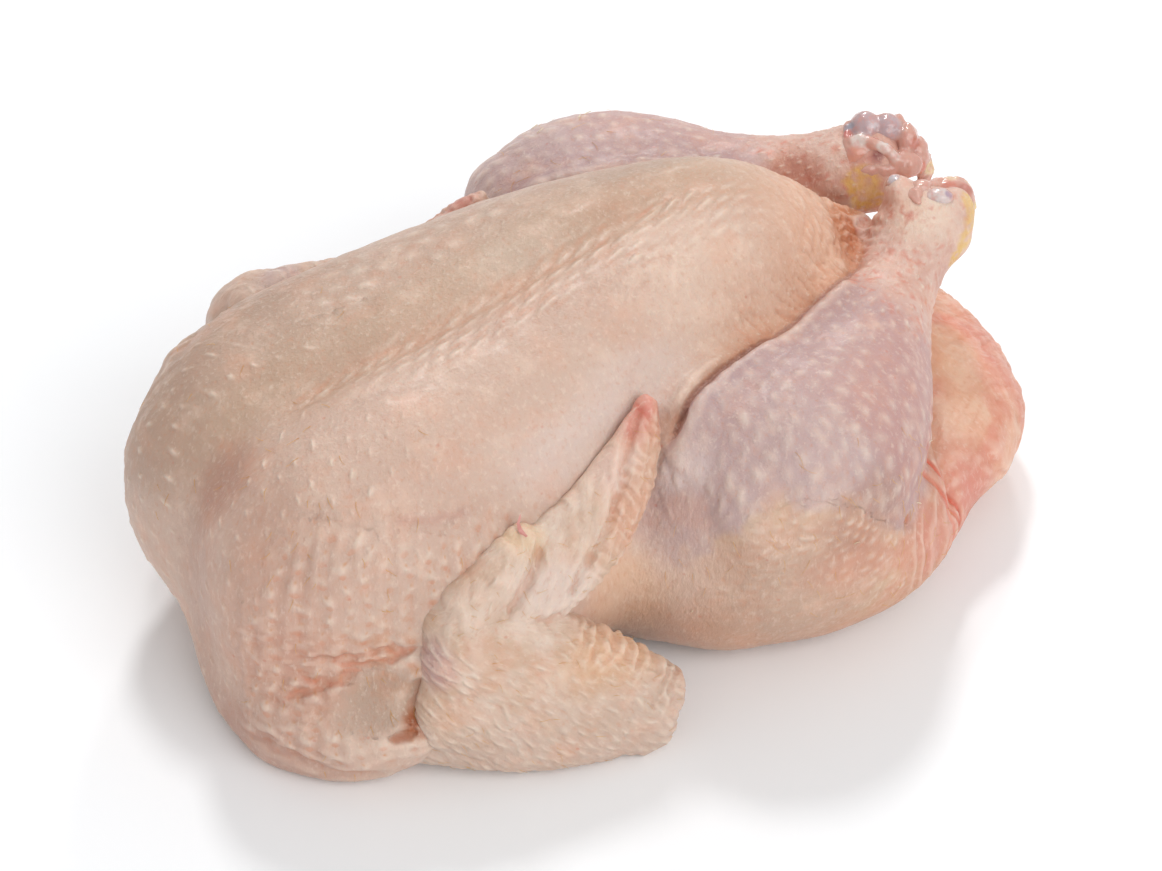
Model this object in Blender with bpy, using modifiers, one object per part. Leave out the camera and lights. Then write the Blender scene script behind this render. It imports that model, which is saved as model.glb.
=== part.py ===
"""Whole raw chicken, plucked and dressed, lying on its back with the breast up.

The neck end points to -X and the tail to +X, the bird's right side is -Y, and it rests on z = 0.
Its flesh is one solid: every form below is lofted through elliptical sections, and the forms are
fused in two passes, a soft one for the trunk and a crisp one for the limbs that lie against it.
"""

import bmesh
import bpy
from mathutils import Matrix, Vector

MM = 0.001

# Driving dimensions, in millimetres.
SIDES = {"right": -1, "left": 1}

RING_SIDES = 40
RINGS_BETWEEN = 6
DOME_ANGLES = (0.98, 0.92, 0.8, 0.62, 0.42, 0.2)

TRUNK_VOXEL = 3.2
TRUNK_SMOOTHING = 22
WHOLE_VOXEL = 2.6
WHOLE_SMOOTHING = 3
TRIANGLES = 9000

# How far the underside is pressed flat, and the middle of the bird's footprint.
PRESSED = 2.0
MIDDLE = (27.0, 0.0)
SKIN_COLOUR = (0.66, 0.48, 0.40)


def mm(*values):
    return Vector(values) * MM


def blended(stations, index, share):
    """A smooth curve through the stations' vectors, share of the way from one to the next."""
    last = len(stations) - 1
    before, start, end, after = (stations[min(max(index + k, 0), last)] for k in (-1, 0, 1, 2))
    mixed = []
    for a, b, c, d in zip(before, start, end, after):
        square, cube = share * share, share * share * share
        point = b * 2 + (c - a) * share + (a * 2 - b * 5 + c * 4 - d) * square
        mixed.append((point + (b * 3 - a - c * 3 + d) * cube) / 2)
    return mixed


def ring_matrix(centre, across, over):
    """Carries a unit circle to the ellipse with these half axes."""
    normal = across.cross(over).normalized() * MM
    turn = Matrix((across, over, normal)).transposed().to_4x4()
    return Matrix.Translation(centre) @ turn


def dome(centre, outward, across, over):
    """Shrinking rings that round off an end by the length of outward."""
    for height in DOME_ANGLES:
        width = (1 - height * height) ** 0.5
        yield centre + outward * height, across * width, over * width


def loft(flesh, stations, start=5, end=5):
    """Adds a closed form through stations of centre and two half axes, its ends domed out by start and end."""
    rings = []
    for index in range(len(stations) - 1):
        rings += [blended(stations, index, k / RINGS_BETWEEN) for k in range(RINGS_BETWEEN)]
    rings.append(stations[-1])
    first = (rings[0][0] - rings[1][0]).normalized() * start * MM
    final = (rings[-1][0] - rings[-2][0]).normalized() * end * MM
    rings = [
        *dome(rings[0][0], first, *rings[0][1:]),
        *rings,
        *reversed(list(dome(rings[-1][0], final, *rings[-1][1:]))),
    ]
    places = [ring_matrix(*ring) for ring in rings]
    bm = bmesh.new()
    made = bmesh.ops.create_circle(bm, cap_ends=True, segments=RING_SIDES, radius=1.0, matrix=places[0])
    edges = list({edge for vert in made["verts"] for edge in vert.link_edges})
    for here, there in zip(places, places[1:]):
        grown = bmesh.ops.extrude_edge_only(bm, edges=edges)["geom"]
        verts = [item for item in grown if isinstance(item, bmesh.types.BMVert)]
        edges = [item for item in grown if isinstance(item, bmesh.types.BMEdge)]
        bmesh.ops.transform(bm, matrix=there @ here.inverted(), verts=verts)
    bmesh.ops.edgeloop_fill(bm, edges=edges)
    bmesh.ops.recalc_face_normals(bm, faces=bm.faces)
    mesh = bpy.data.meshes.new("form")
    bm.to_mesh(mesh)
    bm.free()
    flesh.from_mesh(mesh)
    bpy.data.meshes.remove(mesh)


def upright(x, y, z, wide, high):
    """A section that stands across the bird's length."""
    return mm(x, y, z), mm(0, wide, 0), mm(0, 0, high)


def round_limb(points, hint=(0, 0, 1)):
    """Stations along a limb of points (x, y, z, half width, half height), square to its path."""
    centres = [mm(*point[:3]) for point in points]
    stations = []
    for index, (centre, point) in enumerate(zip(centres, points)):
        back = centres[max(index - 1, 0)]
        ahead = centres[min(index + 1, len(centres) - 1)]
        along = (ahead - back).normalized()
        across = along.cross(Vector(hint)).normalized()
        over = across.cross(along)
        stations.append((centre, across * point[3] * MM, over * point[4] * MM))
    return stations


# Back, ribs and rump: x, y, z, half width, half height of each upright section.
BACK = (
    (-90, -21, 17, 25, 16),
    (-82, -15, 22, 37, 22),
    (-62, -1, 27, 55, 27),
    (-30, 0, 29, 58, 31),
    (0, 0, 30, 58, 32),
    (40, 0, 30, 58, 32),
    (75, 0, 28, 60, 30),
    (105, -6, 26, 59, 27),
    (125, -12, 24, 50, 24),
    (138, -13, 21, 37, 20),
)

# One breast muscle, on its own side of the keel.
BREAST = (
    (-84, 22, 46, 20, 29),
    (-72, 22, 49, 29, 37),
    (-50, 21, 52, 35, 41),
    (-25, 19, 54, 37, 42),
    (0, 15, 56, 39, 44),
    (25, 11, 59, 37, 46),
    (45, 8, 60, 34, 46),
    (62, 6, 60, 30, 46),
    (80, 4, 57, 27, 44),
    (97, 3, 50, 23, 39),
    (112, 2, 40, 18, 32),
)

THIGHS = {
    "right": (
        (12, 48, 36, 16, 29),
        (28, 55, 42, 24, 40),
        (50, 58, 42, 30, 42),
        (70, 58, 34, 30, 35),
        (90, 52, 24, 28, 24),
        (108, 41, 21, 26, 21),
        (122, 30, 19, 22, 19),
    ),
    "left": (
        (18, 47, 32, 16, 28),
        (34, 53, 38, 24, 36),
        (54, 57, 38, 29, 38),
        (72, 57, 34, 30, 34),
        (92, 51, 30, 29, 30),
        (110, 39, 27, 27, 27),
        (126, 28, 23, 22, 22),
    ),
}

# Flesh over the breastbone, which fills the valley between the two breast muscles.
KEEL = (
    (-84, 0, 36, 26, 30),
    (-74, 0, 44, 30, 35),
    (-60, 0, 49, 28, 38),
    (-42, 1, 52, 24, 39),
    (-22, 2, 54, 20, 41),
    (0, 3, 57, 16, 43),
    (25, 4, 60, 14, 46),
    (50, 4, 60, 12, 47),
    (75, 3, 56, 10, 46),
    (94, 1, 54, 10, 33),
    (108, 0, 62, 11, 17),
    (117, -1, 66, 8, 8),
)

# The skin of the neck end, spread wider on the right.
SHOULDERS = {
    "right": ((-88, 28, 14, 22, 14), (-77, 38, 18, 24, 19), (-56, 46, 20, 22, 20), (-38, 48, 22, 14, 20)),
    "left": ((-68, 26, 17, 16, 16), (-60, 37, 20, 20, 20), (-50, 45, 22, 20, 20), (-38, 48, 22, 14, 20)),
}

# From the knee to the hock joint: x, y outward, z, half width, half height.
DRUMSTICKS = {
    "right": (
        (35, 60, 52, 25, 25),
        (46, 59, 55, 29, 29),
        (60, 56, 54, 31, 31),
        (73, 50, 56, 28, 28),
        (84, 43, 60, 23, 23),
        (95, 35, 64, 17.5, 17.5),
        (106, 27, 67, 12.5, 12.5),
        (116, 20, 71, 11.5, 11.5),
        (121, 17, 74, 12.5, 12.5),
        (127, 15, 76, 13, 13),
    ),
    "left": (
        (42, 57, 52, 26, 26),
        (55, 56, 53, 30, 30),
        (72, 52, 54, 30, 30),
        (87, 43, 59, 24, 24),
        (99, 35, 64, 16, 16),
        (112, 26, 69, 12, 12),
        (122, 19, 72, 12.5, 12.5),
        (131, 15, 74, 13, 13),
    ),
}

# The left wing is drawn a little higher on the body than the right: wrist, then points towards its tip.
WRISTS = {"right": (-46, -61, 44), "left": (-38, 65, 58)}
HANDS = {
    "right": (
        (-28, -61, 54, 7, 13),
        (-10, -60, 61, 6, 11.5),
        (3, -56.5, 69.5, 5, 9.5),
        (12, -52, 78, 4, 6.5),
        (17, -48, 84, 3, 3.5),
    ),
    "left": (
        (-25, 62, 61, 7, 12),
        (-8, 56, 65, 6, 10),
        (6, 51, 71, 5, 9),
        (15, 48, 79, 4, 7),
        (21, 45, 85, 3, 4),
    ),
}
ALULAS = {
    "right": ((-43, -60, 54, 5, 8), (-31, -59, 62, 4.5, 6.5), (-24, -57, 67, 3.5, 4.5)),
    "left": ((-34, 64, 63, 5, 6), (-25, 61, 67, 4, 5), (-19, 58, 69, 3, 3)),
}


# The web of skin and fat between the body and the folded wing.
WEB = (
    (-62, 52, 26, 12, 20),
    (-42, 55, 34, 13, 24),
    (-20, 55, 38, 12, 24),
    (0, 52, 38, 9, 20),
)


def trunk(flesh):
    loft(flesh, [upright(*row) for row in BACK], 8, 12)
    loft(flesh, [upright(*row) for row in KEEL], 10, 4)
    for name, side in SIDES.items():
        forms = ((BREAST, 12, 10), (THIGHS[name], 12, 12), (SHOULDERS[name], 8, 8), (WEB, 6, 8))
        for form, start, end in forms:
            loft(flesh, [upright(x, side * y, z, w, h) for x, y, z, w, h in form], start, end)


def drumstick(flesh, name, side):
    points = [(x, side * y, z, wide, high) for x, y, z, wide, high in DRUMSTICKS[name]]
    loft(flesh, round_limb(points), 14, 8)


def wing(flesh, name, side):
    """Upper arm, forearm and hand folded flat: each leans in against the body by the slant of its hint."""
    shoulder = (-64, side * 48, 16)
    elbow = (1, side * 81, 12)
    wrist = WRISTS[name]
    loft(flesh, round_limb([(*shoulder, 11, 11), (-30, side * 69, 12, 12, 11), (*elbow, 8, 11)]), 8, 5)
    middle = [(a + b) / 2 for a, b in zip(elbow, wrist)]
    slant = (0, side * -0.35, 1)
    loft(flesh, round_limb([(*elbow, 7, 13), (*middle, 8, 17), (*wrist, 10, 14)], slant), 5, 10)
    web = [(-54, side * 64, 27, 6, 11), (-38, side * 69, 25, 7, 16), (-18, side * 76, 20, 7, 14)]
    loft(flesh, round_limb(web, slant), 6, 6)
    slant = (0, side * -0.8, 1)
    loft(flesh, round_limb([(*wrist, 9, 14), *HANDS[name]], slant), 8, 4)
    loft(flesh, round_limb(ALULAS[name], slant), 5, 3)


def object_of(name, bm, collection):
    mesh = bpy.data.meshes.new(name)
    bm.to_mesh(mesh)
    bm.free()
    made = bpy.data.objects.new(name, mesh)
    collection.objects.link(made)
    return made


def fused(made, voxel, smoothing):
    """Replaces the object's overlapping forms with the one skin round them all, then softens it."""
    remesh = made.modifiers.new("one skin", "REMESH")
    remesh.mode = "VOXEL"
    remesh.voxel_size = voxel * MM
    smooth = made.modifiers.new("soft joins", "SMOOTH")
    smooth.factor = 0.5
    smooth.iterations = smoothing
    applied(made)


def applied(made):
    """Keeps what the object's modifiers make of it."""
    skin = bpy.data.meshes.new_from_object(made.evaluated_get(bpy.context.evaluated_depsgraph_get()))
    made.modifiers.clear()
    made.data = skin


def faceted(made):
    """Brings the skin down to the number of triangles wanted."""
    flesh = bmesh.new()
    flesh.from_mesh(made.data)
    bmesh.ops.triangulate(flesh, faces=flesh.faces)
    count = len(flesh.faces)
    flesh.to_mesh(made.data)
    flesh.free()
    fewer = made.modifiers.new("facets", "DECIMATE")
    fewer.ratio = TRIANGLES / count
    fewer.use_collapse_triangulate = True
    applied(made)


def flattened(made):
    """Cuts the underside flat where the bird's weight presses it, and centres the bird over the origin."""
    flesh = bmesh.new()
    flesh.from_mesh(made.data)
    everything = [*flesh.verts, *flesh.edges, *flesh.faces]
    floor = mm(0, 0, PRESSED)
    cut = bmesh.ops.bisect_plane(
        flesh, geom=everything, dist=1e-7, plane_co=floor, plane_no=(0, 0, 1), clear_inner=True
    )["geom_cut"]
    rim = [item for item in cut if isinstance(item, bmesh.types.BMEdge)]
    bmesh.ops.triangle_fill(flesh, edges=rim, use_beauty=True, use_dissolve=False, normal=(0, 0, -1))
    bmesh.ops.translate(flesh, verts=flesh.verts, vec=-mm(*MIDDLE, PRESSED))
    bmesh.ops.recalc_face_normals(flesh, faces=flesh.faces)
    flesh.to_mesh(made.data)
    flesh.free()


def main():
    for old in list(bpy.data.objects):
        bpy.data.objects.remove(old)
    collection = bpy.data.collections.new("whole raw chicken")
    bpy.context.scene.collection.children.link(collection)
    flesh = bmesh.new()
    trunk(flesh)
    chicken = object_of("chicken", flesh, collection)
    fused(chicken, TRUNK_VOXEL, TRUNK_SMOOTHING)
    flesh = bmesh.new()
    flesh.from_mesh(chicken.data)
    for name, side in SIDES.items():
        drumstick(flesh, name, side)
        wing(flesh, name, side)
    flesh.to_mesh(chicken.data)
    flesh.free()
    fused(chicken, WHOLE_VOXEL, WHOLE_SMOOTHING)
    faceted(chicken)
    flattened(chicken)
    skin = bpy.data.materials.new("skin")
    skin.use_nodes = True
    shader = skin.node_tree.nodes["Principled BSDF"]
    shader.inputs["Base Color"].default_value = (*SKIN_COLOUR, 1)
    shader.inputs["Roughness"].default_value = 0.45
    chicken.data.materials.clear()
    chicken.data.materials.append(skin)


main()
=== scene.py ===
"""A whole raw chicken on a pale table: moist skin, goose-flesh, folds, hock joints and shank skin.

Lengths are in millimetres in the bird's own frame until a piece is placed: the neck end is at -X,
the tail at +X, the bird's right side at -Y, and the keel runs along y = 0.
"""

import math
import random

import bmesh
import bpy
import numpy as np
from mathutils import Matrix, Vector, noise
from mathutils.kdtree import KDTree


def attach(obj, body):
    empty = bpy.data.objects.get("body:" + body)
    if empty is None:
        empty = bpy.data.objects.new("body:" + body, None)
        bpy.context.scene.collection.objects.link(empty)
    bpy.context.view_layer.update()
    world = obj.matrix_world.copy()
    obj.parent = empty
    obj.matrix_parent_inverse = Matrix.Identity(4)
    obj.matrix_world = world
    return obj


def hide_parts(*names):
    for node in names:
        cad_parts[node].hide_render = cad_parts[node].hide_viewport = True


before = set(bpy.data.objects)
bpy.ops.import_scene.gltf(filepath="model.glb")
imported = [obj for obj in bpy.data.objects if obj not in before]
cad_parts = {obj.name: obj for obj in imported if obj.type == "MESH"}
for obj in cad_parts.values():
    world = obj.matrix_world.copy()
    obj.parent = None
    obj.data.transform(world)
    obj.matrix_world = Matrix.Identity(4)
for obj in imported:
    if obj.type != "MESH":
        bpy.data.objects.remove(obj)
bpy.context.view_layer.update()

MM = 0.001
# How far the underside is pressed flat, and the middle of the bird's footprint.
PRESSED = 2.0
MIDDLE = (27.0, 0.0)
SIDES = {"right": -1, "left": 1}

RING_SIDES = 40
RINGS_BETWEEN = 6
DOME_ANGLES = (0.98, 0.92, 0.8, 0.62, 0.42, 0.2)

# Voxels in millimetres: soft trunk, crisp limbs, wings, wet tissue, and the skins that carry the relief.
TRUNK_VOXEL, LIMB_VOXEL, WING_VOXEL, TISSUE_VOXEL = 2.4, 1.4, 1.2, 0.5
BODY_SKIN_VOXEL, WING_SKIN_VOXEL = 1.0, 0.75
BODY_TRIANGLES, WING_TRIANGLES = 195000, 90000

scene = bpy.context.scene
collection = bpy.data.collections.new("raw chicken looks")
scene.collection.children.link(collection)

# ---------------------------------------------------------------- forms


def mm(*values):
    return Vector(values) * MM


def blended(stations, index, share):
    """A smooth curve through the stations' vectors, share of the way from one to the next."""
    last = len(stations) - 1
    before, start, end, after = (stations[min(max(index + k, 0), last)] for k in (-1, 0, 1, 2))
    square, cube = share * share, share * share * share
    mixed = []
    for a, b, c, d in zip(before, start, end, after):
        point = b * 2 + (c - a) * share + (a * 2 - b * 5 + c * 4 - d) * square
        mixed.append((point + (b * 3 - a - c * 3 + d) * cube) / 2)
    return mixed


def ring_matrix(centre, across, over):
    """Carries a unit circle to the ellipse with these half axes."""
    normal = across.cross(over).normalized() * MM
    turn = Matrix((across, over, normal)).transposed().to_4x4()
    return Matrix.Translation(centre) @ turn


def dome(centre, outward, across, over):
    """Shrinking rings that round off an end by the length of outward."""
    for height in DOME_ANGLES:
        width = (1 - height * height) ** 0.5
        yield centre + outward * height, across * width, over * width


def swept(bm, rings, sides):
    """Adds a closed tube through rings of centre and two half axes."""
    places = [ring_matrix(*ring) for ring in rings]
    made = bmesh.ops.create_circle(bm, cap_ends=True, segments=sides, radius=1.0, matrix=places[0])
    edges = list(dict.fromkeys(edge for vert in made["verts"] for edge in vert.link_edges))
    for here, there in zip(places, places[1:]):
        grown = bmesh.ops.extrude_edge_only(bm, edges=edges)["geom"]
        verts = [item for item in grown if isinstance(item, bmesh.types.BMVert)]
        edges = [item for item in grown if isinstance(item, bmesh.types.BMEdge)]
        bmesh.ops.transform(bm, matrix=there @ here.inverted(), verts=verts)
    bmesh.ops.edgeloop_fill(bm, edges=edges)


def join(flesh, bm):
    """Adds a closed form to the flesh, its faces pointing out."""
    bmesh.ops.recalc_face_normals(bm, faces=bm.faces)
    mesh = bpy.data.meshes.new("form")
    bm.to_mesh(mesh)
    bm.free()
    flesh.from_mesh(mesh)
    bpy.data.meshes.remove(mesh)


def loft(flesh, stations, start=5, end=5):
    """Adds a form through stations of centre and two half axes, its ends domed out by start and end."""
    rings = []
    for index in range(len(stations) - 1):
        rings += [blended(stations, index, k / RINGS_BETWEEN) for k in range(RINGS_BETWEEN)]
    rings.append(stations[-1])
    first = (rings[0][0] - rings[1][0]).normalized() * start * MM
    final = (rings[-1][0] - rings[-2][0]).normalized() * end * MM
    before = list(dome(rings[0][0], first, *rings[0][1:]))
    after = list(dome(rings[-1][0], final, *rings[-1][1:]))
    bm = bmesh.new()
    swept(bm, [*before, *rings, *reversed(after)], RING_SIDES)
    join(flesh, bm)


def upright(x, y, z, wide, high):
    """A section that stands across the bird's length."""
    return mm(x, y, z), mm(0, wide, 0), mm(0, 0, high)


def round_limb(points, hint=(0, 0, 1)):
    """Stations along a limb of points (x, y, z, half width, half height), square to its path."""
    centres = [mm(*point[:3]) for point in points]
    stations = []
    for index, (centre, point) in enumerate(zip(centres, points)):
        back = centres[max(index - 1, 0)]
        ahead = centres[min(index + 1, len(centres) - 1)]
        along = (ahead - back).normalized()
        across = along.cross(Vector(hint)).normalized()
        over = across.cross(along)
        stations.append((centre, across * point[3] * MM, over * point[4] * MM))
    return stations


# Back, ribs and rump: x, y, z, half width, half height of each upright section.
BACK = (
    (-90, -21, 17, 25, 16),
    (-82, -15, 22, 37, 22),
    (-62, -1, 27, 55, 27),
    (-30, 0, 29, 58, 31),
    (0, 0, 30, 58, 32),
    (40, 0, 30, 58, 32),
    (75, 0, 28, 60, 30),
    (105, -6, 26, 59, 27),
    (125, -12, 24, 50, 24),
    (138, -13, 21, 37, 20),
)

# One breast muscle, on its own side of the keel.
BREAST = (
    (-84, 22, 46, 20, 29),
    (-72, 22, 49, 29, 37),
    (-50, 21, 52, 35, 41),
    (-25, 19, 54, 37, 42),
    (0, 15, 56, 39, 44),
    (25, 11, 59, 37, 46),
    (45, 8, 60, 34, 46),
    (62, 6, 60, 30, 46),
    (80, 4, 57, 27, 44),
    (97, 3, 50, 23, 39),
    (112, 2, 40, 18, 32),
)

THIGHS = {
    "right": (
        (12, 48, 36, 16, 29),
        (28, 55, 42, 24, 40),
        (50, 58, 42, 30, 42),
        (70, 58, 34, 30, 35),
        (90, 52, 24, 28, 24),
        (108, 41, 21, 26, 21),
        (122, 30, 19, 22, 19),
    ),
    "left": (
        (18, 47, 32, 16, 28),
        (34, 53, 38, 24, 36),
        (54, 57, 38, 29, 38),
        (72, 57, 34, 30, 34),
        (92, 51, 30, 29, 30),
        (110, 39, 27, 27, 27),
        (126, 28, 23, 22, 22),
    ),
}

# Flesh over the breastbone, which fills the valley between the two breast muscles.
KEEL = (
    (-84, 0, 36, 26, 30),
    (-74, 0, 44, 30, 35),
    (-60, 0, 49, 28, 38),
    (-42, 1, 52, 24, 39),
    (-22, 2, 54, 20, 41),
    (0, 3, 57, 16, 43),
    (25, 4, 60, 14, 46),
    (50, 4, 60, 12, 47),
    (75, 3, 56, 10, 46),
    (94, 1, 54, 10, 33),
    (108, 0, 62, 11, 17),
    (117, -1, 66, 8, 8),
)

# The skin of the neck end, spread wider on the right.
SHOULDERS = {
    "right": ((-88, 28, 14, 22, 14), (-77, 38, 18, 24, 19), (-56, 46, 20, 22, 20), (-38, 48, 22, 14, 20)),
    "left": ((-68, 26, 17, 16, 16), (-60, 37, 20, 20, 20), (-50, 45, 22, 20, 20), (-38, 48, 22, 14, 20)),
}

# From the knee to the hock joint: x, y outward, z, half width, half height.
DRUMSTICKS = {
    "right": (
        (35, 60, 52, 25, 25),
        (46, 59, 55, 29, 29),
        (60, 56, 54, 31, 31),
        (73, 50, 56, 28, 28),
        (84, 43, 60, 23, 23),
        (95, 35, 64, 17.5, 17.5),
        (106, 27, 67, 12.5, 12.5),
        (116, 20, 71, 11.5, 11.5),
        (121, 17, 74, 12.5, 12.5),
        (127, 15, 76, 13, 13),
    ),
    "left": (
        (42, 57, 52, 26, 26),
        (55, 56, 53, 30, 30),
        (72, 52, 54, 30, 30),
        (87, 43, 59, 24, 24),
        (99, 35, 64, 16, 16),
        (112, 26, 69, 12, 12),
        (122, 19, 72, 12.5, 12.5),
        (131, 15, 74, 13, 13),
    ),
}

# The left wing is drawn a little higher on the body than the right: wrist, then points towards its tip.
WRISTS = {"right": (-46, -61, 44), "left": (-38, 65, 58)}
HANDS = {
    "right": (
        (-28, -61, 54, 7, 13),
        (-10, -60, 61, 6, 11.5),
        (3, -56.5, 69.5, 5, 9.5),
        (12, -52, 78, 4, 6.5),
        (17, -48, 84, 3, 3.5),
    ),
    "left": (
        (-25, 62, 61, 7, 12),
        (-8, 56, 65, 6, 10),
        (6, 51, 71, 5, 9),
        (15, 48, 79, 4, 7),
        (21, 45, 85, 3, 4),
    ),
}
ALULAS = {
    "right": ((-43, -60, 54, 5, 8), (-31, -59, 62, 4.5, 6.5), (-24, -57, 67, 3.5, 4.5)),
    "left": ((-34, 64, 63, 5, 6), (-25, 61, 67, 4, 5), (-19, 58, 69, 3, 3)),
}

# The web of skin and fat between the body and the folded wing.
WEB = (
    (-62, 52, 26, 12, 20),
    (-42, 55, 34, 13, 24),
    (-20, 55, 38, 12, 24),
    (0, 52, 38, 9, 20),
)


def trunk(flesh):
    loft(flesh, [upright(*row) for row in BACK], 8, 12)
    loft(flesh, [upright(*row) for row in KEEL], 10, 4)
    for name, side in SIDES.items():
        forms = ((BREAST, 12, 10), (THIGHS[name], 12, 12), (SHOULDERS[name], 8, 8), (WEB, 6, 8))
        for form, start, end in forms:
            loft(flesh, [upright(x, side * y, z, w, h) for x, y, z, w, h in form], start, end)


def drumstick(flesh, name, side):
    points = [(x, side * y, z, wide, high) for x, y, z, wide, high in DRUMSTICKS[name]]
    loft(flesh, round_limb(points), 14, 8)


def wing(flesh, name, side):
    """Upper arm, forearm and hand folded flat: each leans in against the body by the slant of its hint."""
    shoulder = (-64, side * 48, 16)
    elbow = (1, side * 81, 12)
    wrist = WRISTS[name]
    loft(flesh, round_limb([(*shoulder, 11, 11), (-30, side * 69, 12, 12, 11), (*elbow, 8, 11)]), 8, 5)
    middle = [(a + b) / 2 for a, b in zip(elbow, wrist)]
    slant = (0, side * -0.35, 1)
    loft(flesh, round_limb([(*elbow, 7, 13), (*middle, 8, 17), (*wrist, 10, 14)], slant), 5, 10)
    web = [(-54, side * 64, 27, 6, 11), (-38, side * 69, 25, 7, 16), (-18, side * 76, 20, 7, 14)]
    loft(flesh, round_limb(web, slant), 6, 6)
    slant = (0, side * -0.8, 1)
    loft(flesh, round_limb([(*wrist, 9, 14), *HANDS[name]], slant), 8, 4)
    loft(flesh, round_limb(ALULAS[name], slant), 5, 3)


def declared(made):
    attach(made, "root")
    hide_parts("chicken")


def object_of(name, bm):
    mesh = bpy.data.meshes.new(name)
    bm.to_mesh(mesh)
    bm.free()
    made = bpy.data.objects.new(name, mesh)
    collection.objects.link(made)
    return made


def applied(made):
    """Keeps what the object's modifiers make of it."""
    kept = bpy.data.meshes.new_from_object(made.evaluated_get(bpy.context.evaluated_depsgraph_get()))
    made.modifiers.clear()
    made.data = kept


def fused(made, voxel, smoothing):
    """Replaces the object's overlapping forms with the one skin round them all, then softens it."""
    remesh = made.modifiers.new("one skin", "REMESH")
    remesh.mode = "VOXEL"
    remesh.voxel_size = voxel * MM
    if smoothing:
        smooth = made.modifiers.new("soft joins", "SMOOTH")
        smooth.factor = 0.5
        smooth.iterations = smoothing
    applied(made)


def thinned(made, triangles):
    """Brings a skin down to the number of triangles wanted."""
    bm = bmesh.new()
    bm.from_mesh(made.data)
    bmesh.ops.triangulate(bm, faces=bm.faces)
    count = len(bm.faces)
    bm.to_mesh(made.data)
    bm.free()
    if count > triangles:
        fewer = made.modifiers.new("thinned", "DECIMATE")
        fewer.ratio = triangles / count
        fewer.use_collapse_triangulate = True
        applied(made)


# ---------------------------------------------------------------- sculpting

class Skin:
    """The points of a piece's mesh as numbers in millimetres, to be moved and then written back."""

    def __init__(self, made):
        self.made = made
        self.mesh = made.data
        self.read()

    def read(self):
        self.count = len(self.mesh.vertices)
        flat = np.empty(self.count * 3, dtype=np.float32)
        self.mesh.vertices.foreach_get("co", flat)
        self.at = flat.reshape(-1, 3).astype(float) / MM
        self.find_normals()

    def find_normals(self):
        flat = np.empty(self.count * 3, dtype=np.float32)
        self.mesh.vertex_normals.foreach_get("vector", flat)
        self.normal = flat.reshape(-1, 3).astype(float)

    def write(self):
        self.mesh.vertices.foreach_set("co", (self.at * MM).astype(np.float32).ravel())
        self.mesh.update()
        self.find_normals()

    def push(self, height):
        """Moves each point along its normal by its height."""
        self.at += self.normal * height[:, None]
        self.write()

    def keep(self, name, values):
        """Stores numbers or triples on the points for the materials to read."""
        kind = "FLOAT" if values.ndim == 1 else "FLOAT_VECTOR"
        slot = "value" if values.ndim == 1 else "vector"
        layer = self.mesh.attributes.new(name, kind, "POINT")
        layer.data.foreach_set(slot, values.astype(np.float32).ravel())

    def paint(self, name, colours):
        layer = self.mesh.attributes.new(name, "FLOAT_COLOR", "POINT")
        full = np.ones((self.count, 4), dtype=np.float32)
        full[:, :3] = colours
        layer.data.foreach_set("color", full.ravel())


def ramp(low, high, value):
    """0 up to low, 1 from high on, and a soft step between them."""
    share = np.clip((value - low) / (high - low), 0, 1)
    return share * share * (3 - 2 * share)


def span(value, start, full, fading, end):
    """1 from full to fading, falling softly to 0 at start and end."""
    return ramp(start, full, value) * ramp(end, fading, value)


def waves(level, length):
    return np.cos(level * 2 * math.pi / length)


def bell(value, width):
    """1 at nothing, falling softly on both sides, by width."""
    return np.exp(-((value / width) ** 2))


def outwards(points):
    """The points with y counted outward on both sides of the bird."""
    folded = points.copy()
    folded[:, 1] = np.abs(folded[:, 1])
    return folded


def near_path(points, path):
    """Distance from each point to a path, and how far along it in millimetres the nearest place is."""
    path = np.array(path, dtype=float)
    best = np.full(len(points), 1e9)
    along = np.zeros(len(points))
    done = 0.0
    for start, end in zip(path, path[1:]):
        step = end - start
        length = np.linalg.norm(step)
        if length == 0:
            continue
        share = np.clip((points - start) @ step / length**2, 0, 1)
        gap = np.linalg.norm(points - start - share[:, None] * step, axis=1)
        nearer = gap < best
        best[nearer] = gap[nearer]
        along[nearer] = (done + share * length)[nearer]
        done += length
    return best, along, done


def rounded(path, rounds=2):
    """The same path with its corners cut away."""
    path = np.array(path, dtype=float)
    for _ in range(rounds):
        inner = np.empty((2 * (len(path) - 1), 3))
        inner[0::2] = path[:-1] * 0.75 + path[1:] * 0.25
        inner[1::2] = path[:-1] * 0.25 + path[1:] * 0.75
        path = np.vstack([path[:1], inner, path[-1:]])
    return path


def clouds(points, size, seed=0, octaves=2):
    """Soft noise from -1 to 1 with patches of about this size; size may differ along x, y and z."""
    basis = {"noise_basis": "PERLIN_ORIGINAL"}
    scaled = points / np.array(size) + seed * 17.3
    return np.array([noise.fractal(Vector(place), 1.0, 2.0, octaves, **basis) for place in scaled])


def soften(skin, share, rounds):
    """Smooths the skin where share is over nothing, as far as share says."""
    ends = np.empty(len(skin.mesh.edges) * 2, dtype=np.int32)
    skin.mesh.edges.foreach_get("vertices", ends)
    one, other = ends.reshape(-1, 2).T
    links = np.bincount(one, minlength=skin.count) + np.bincount(other, minlength=skin.count)
    for _ in range(rounds):
        for axis in range(3):
            value = skin.at[:, axis]
            around = np.bincount(one, value[other], skin.count) + np.bincount(other, value[one], skin.count)
            skin.at[:, axis] = value + (around / links - value) * share * 0.7
    skin.write()


def ball(points, centre, size):
    """1 at a centre, falling softly to 0 at size, which may differ along x, y and z."""
    return 1 - ramp(0.35, 1, np.linalg.norm((points - centre) / np.array(size, dtype=float), axis=1))


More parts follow.
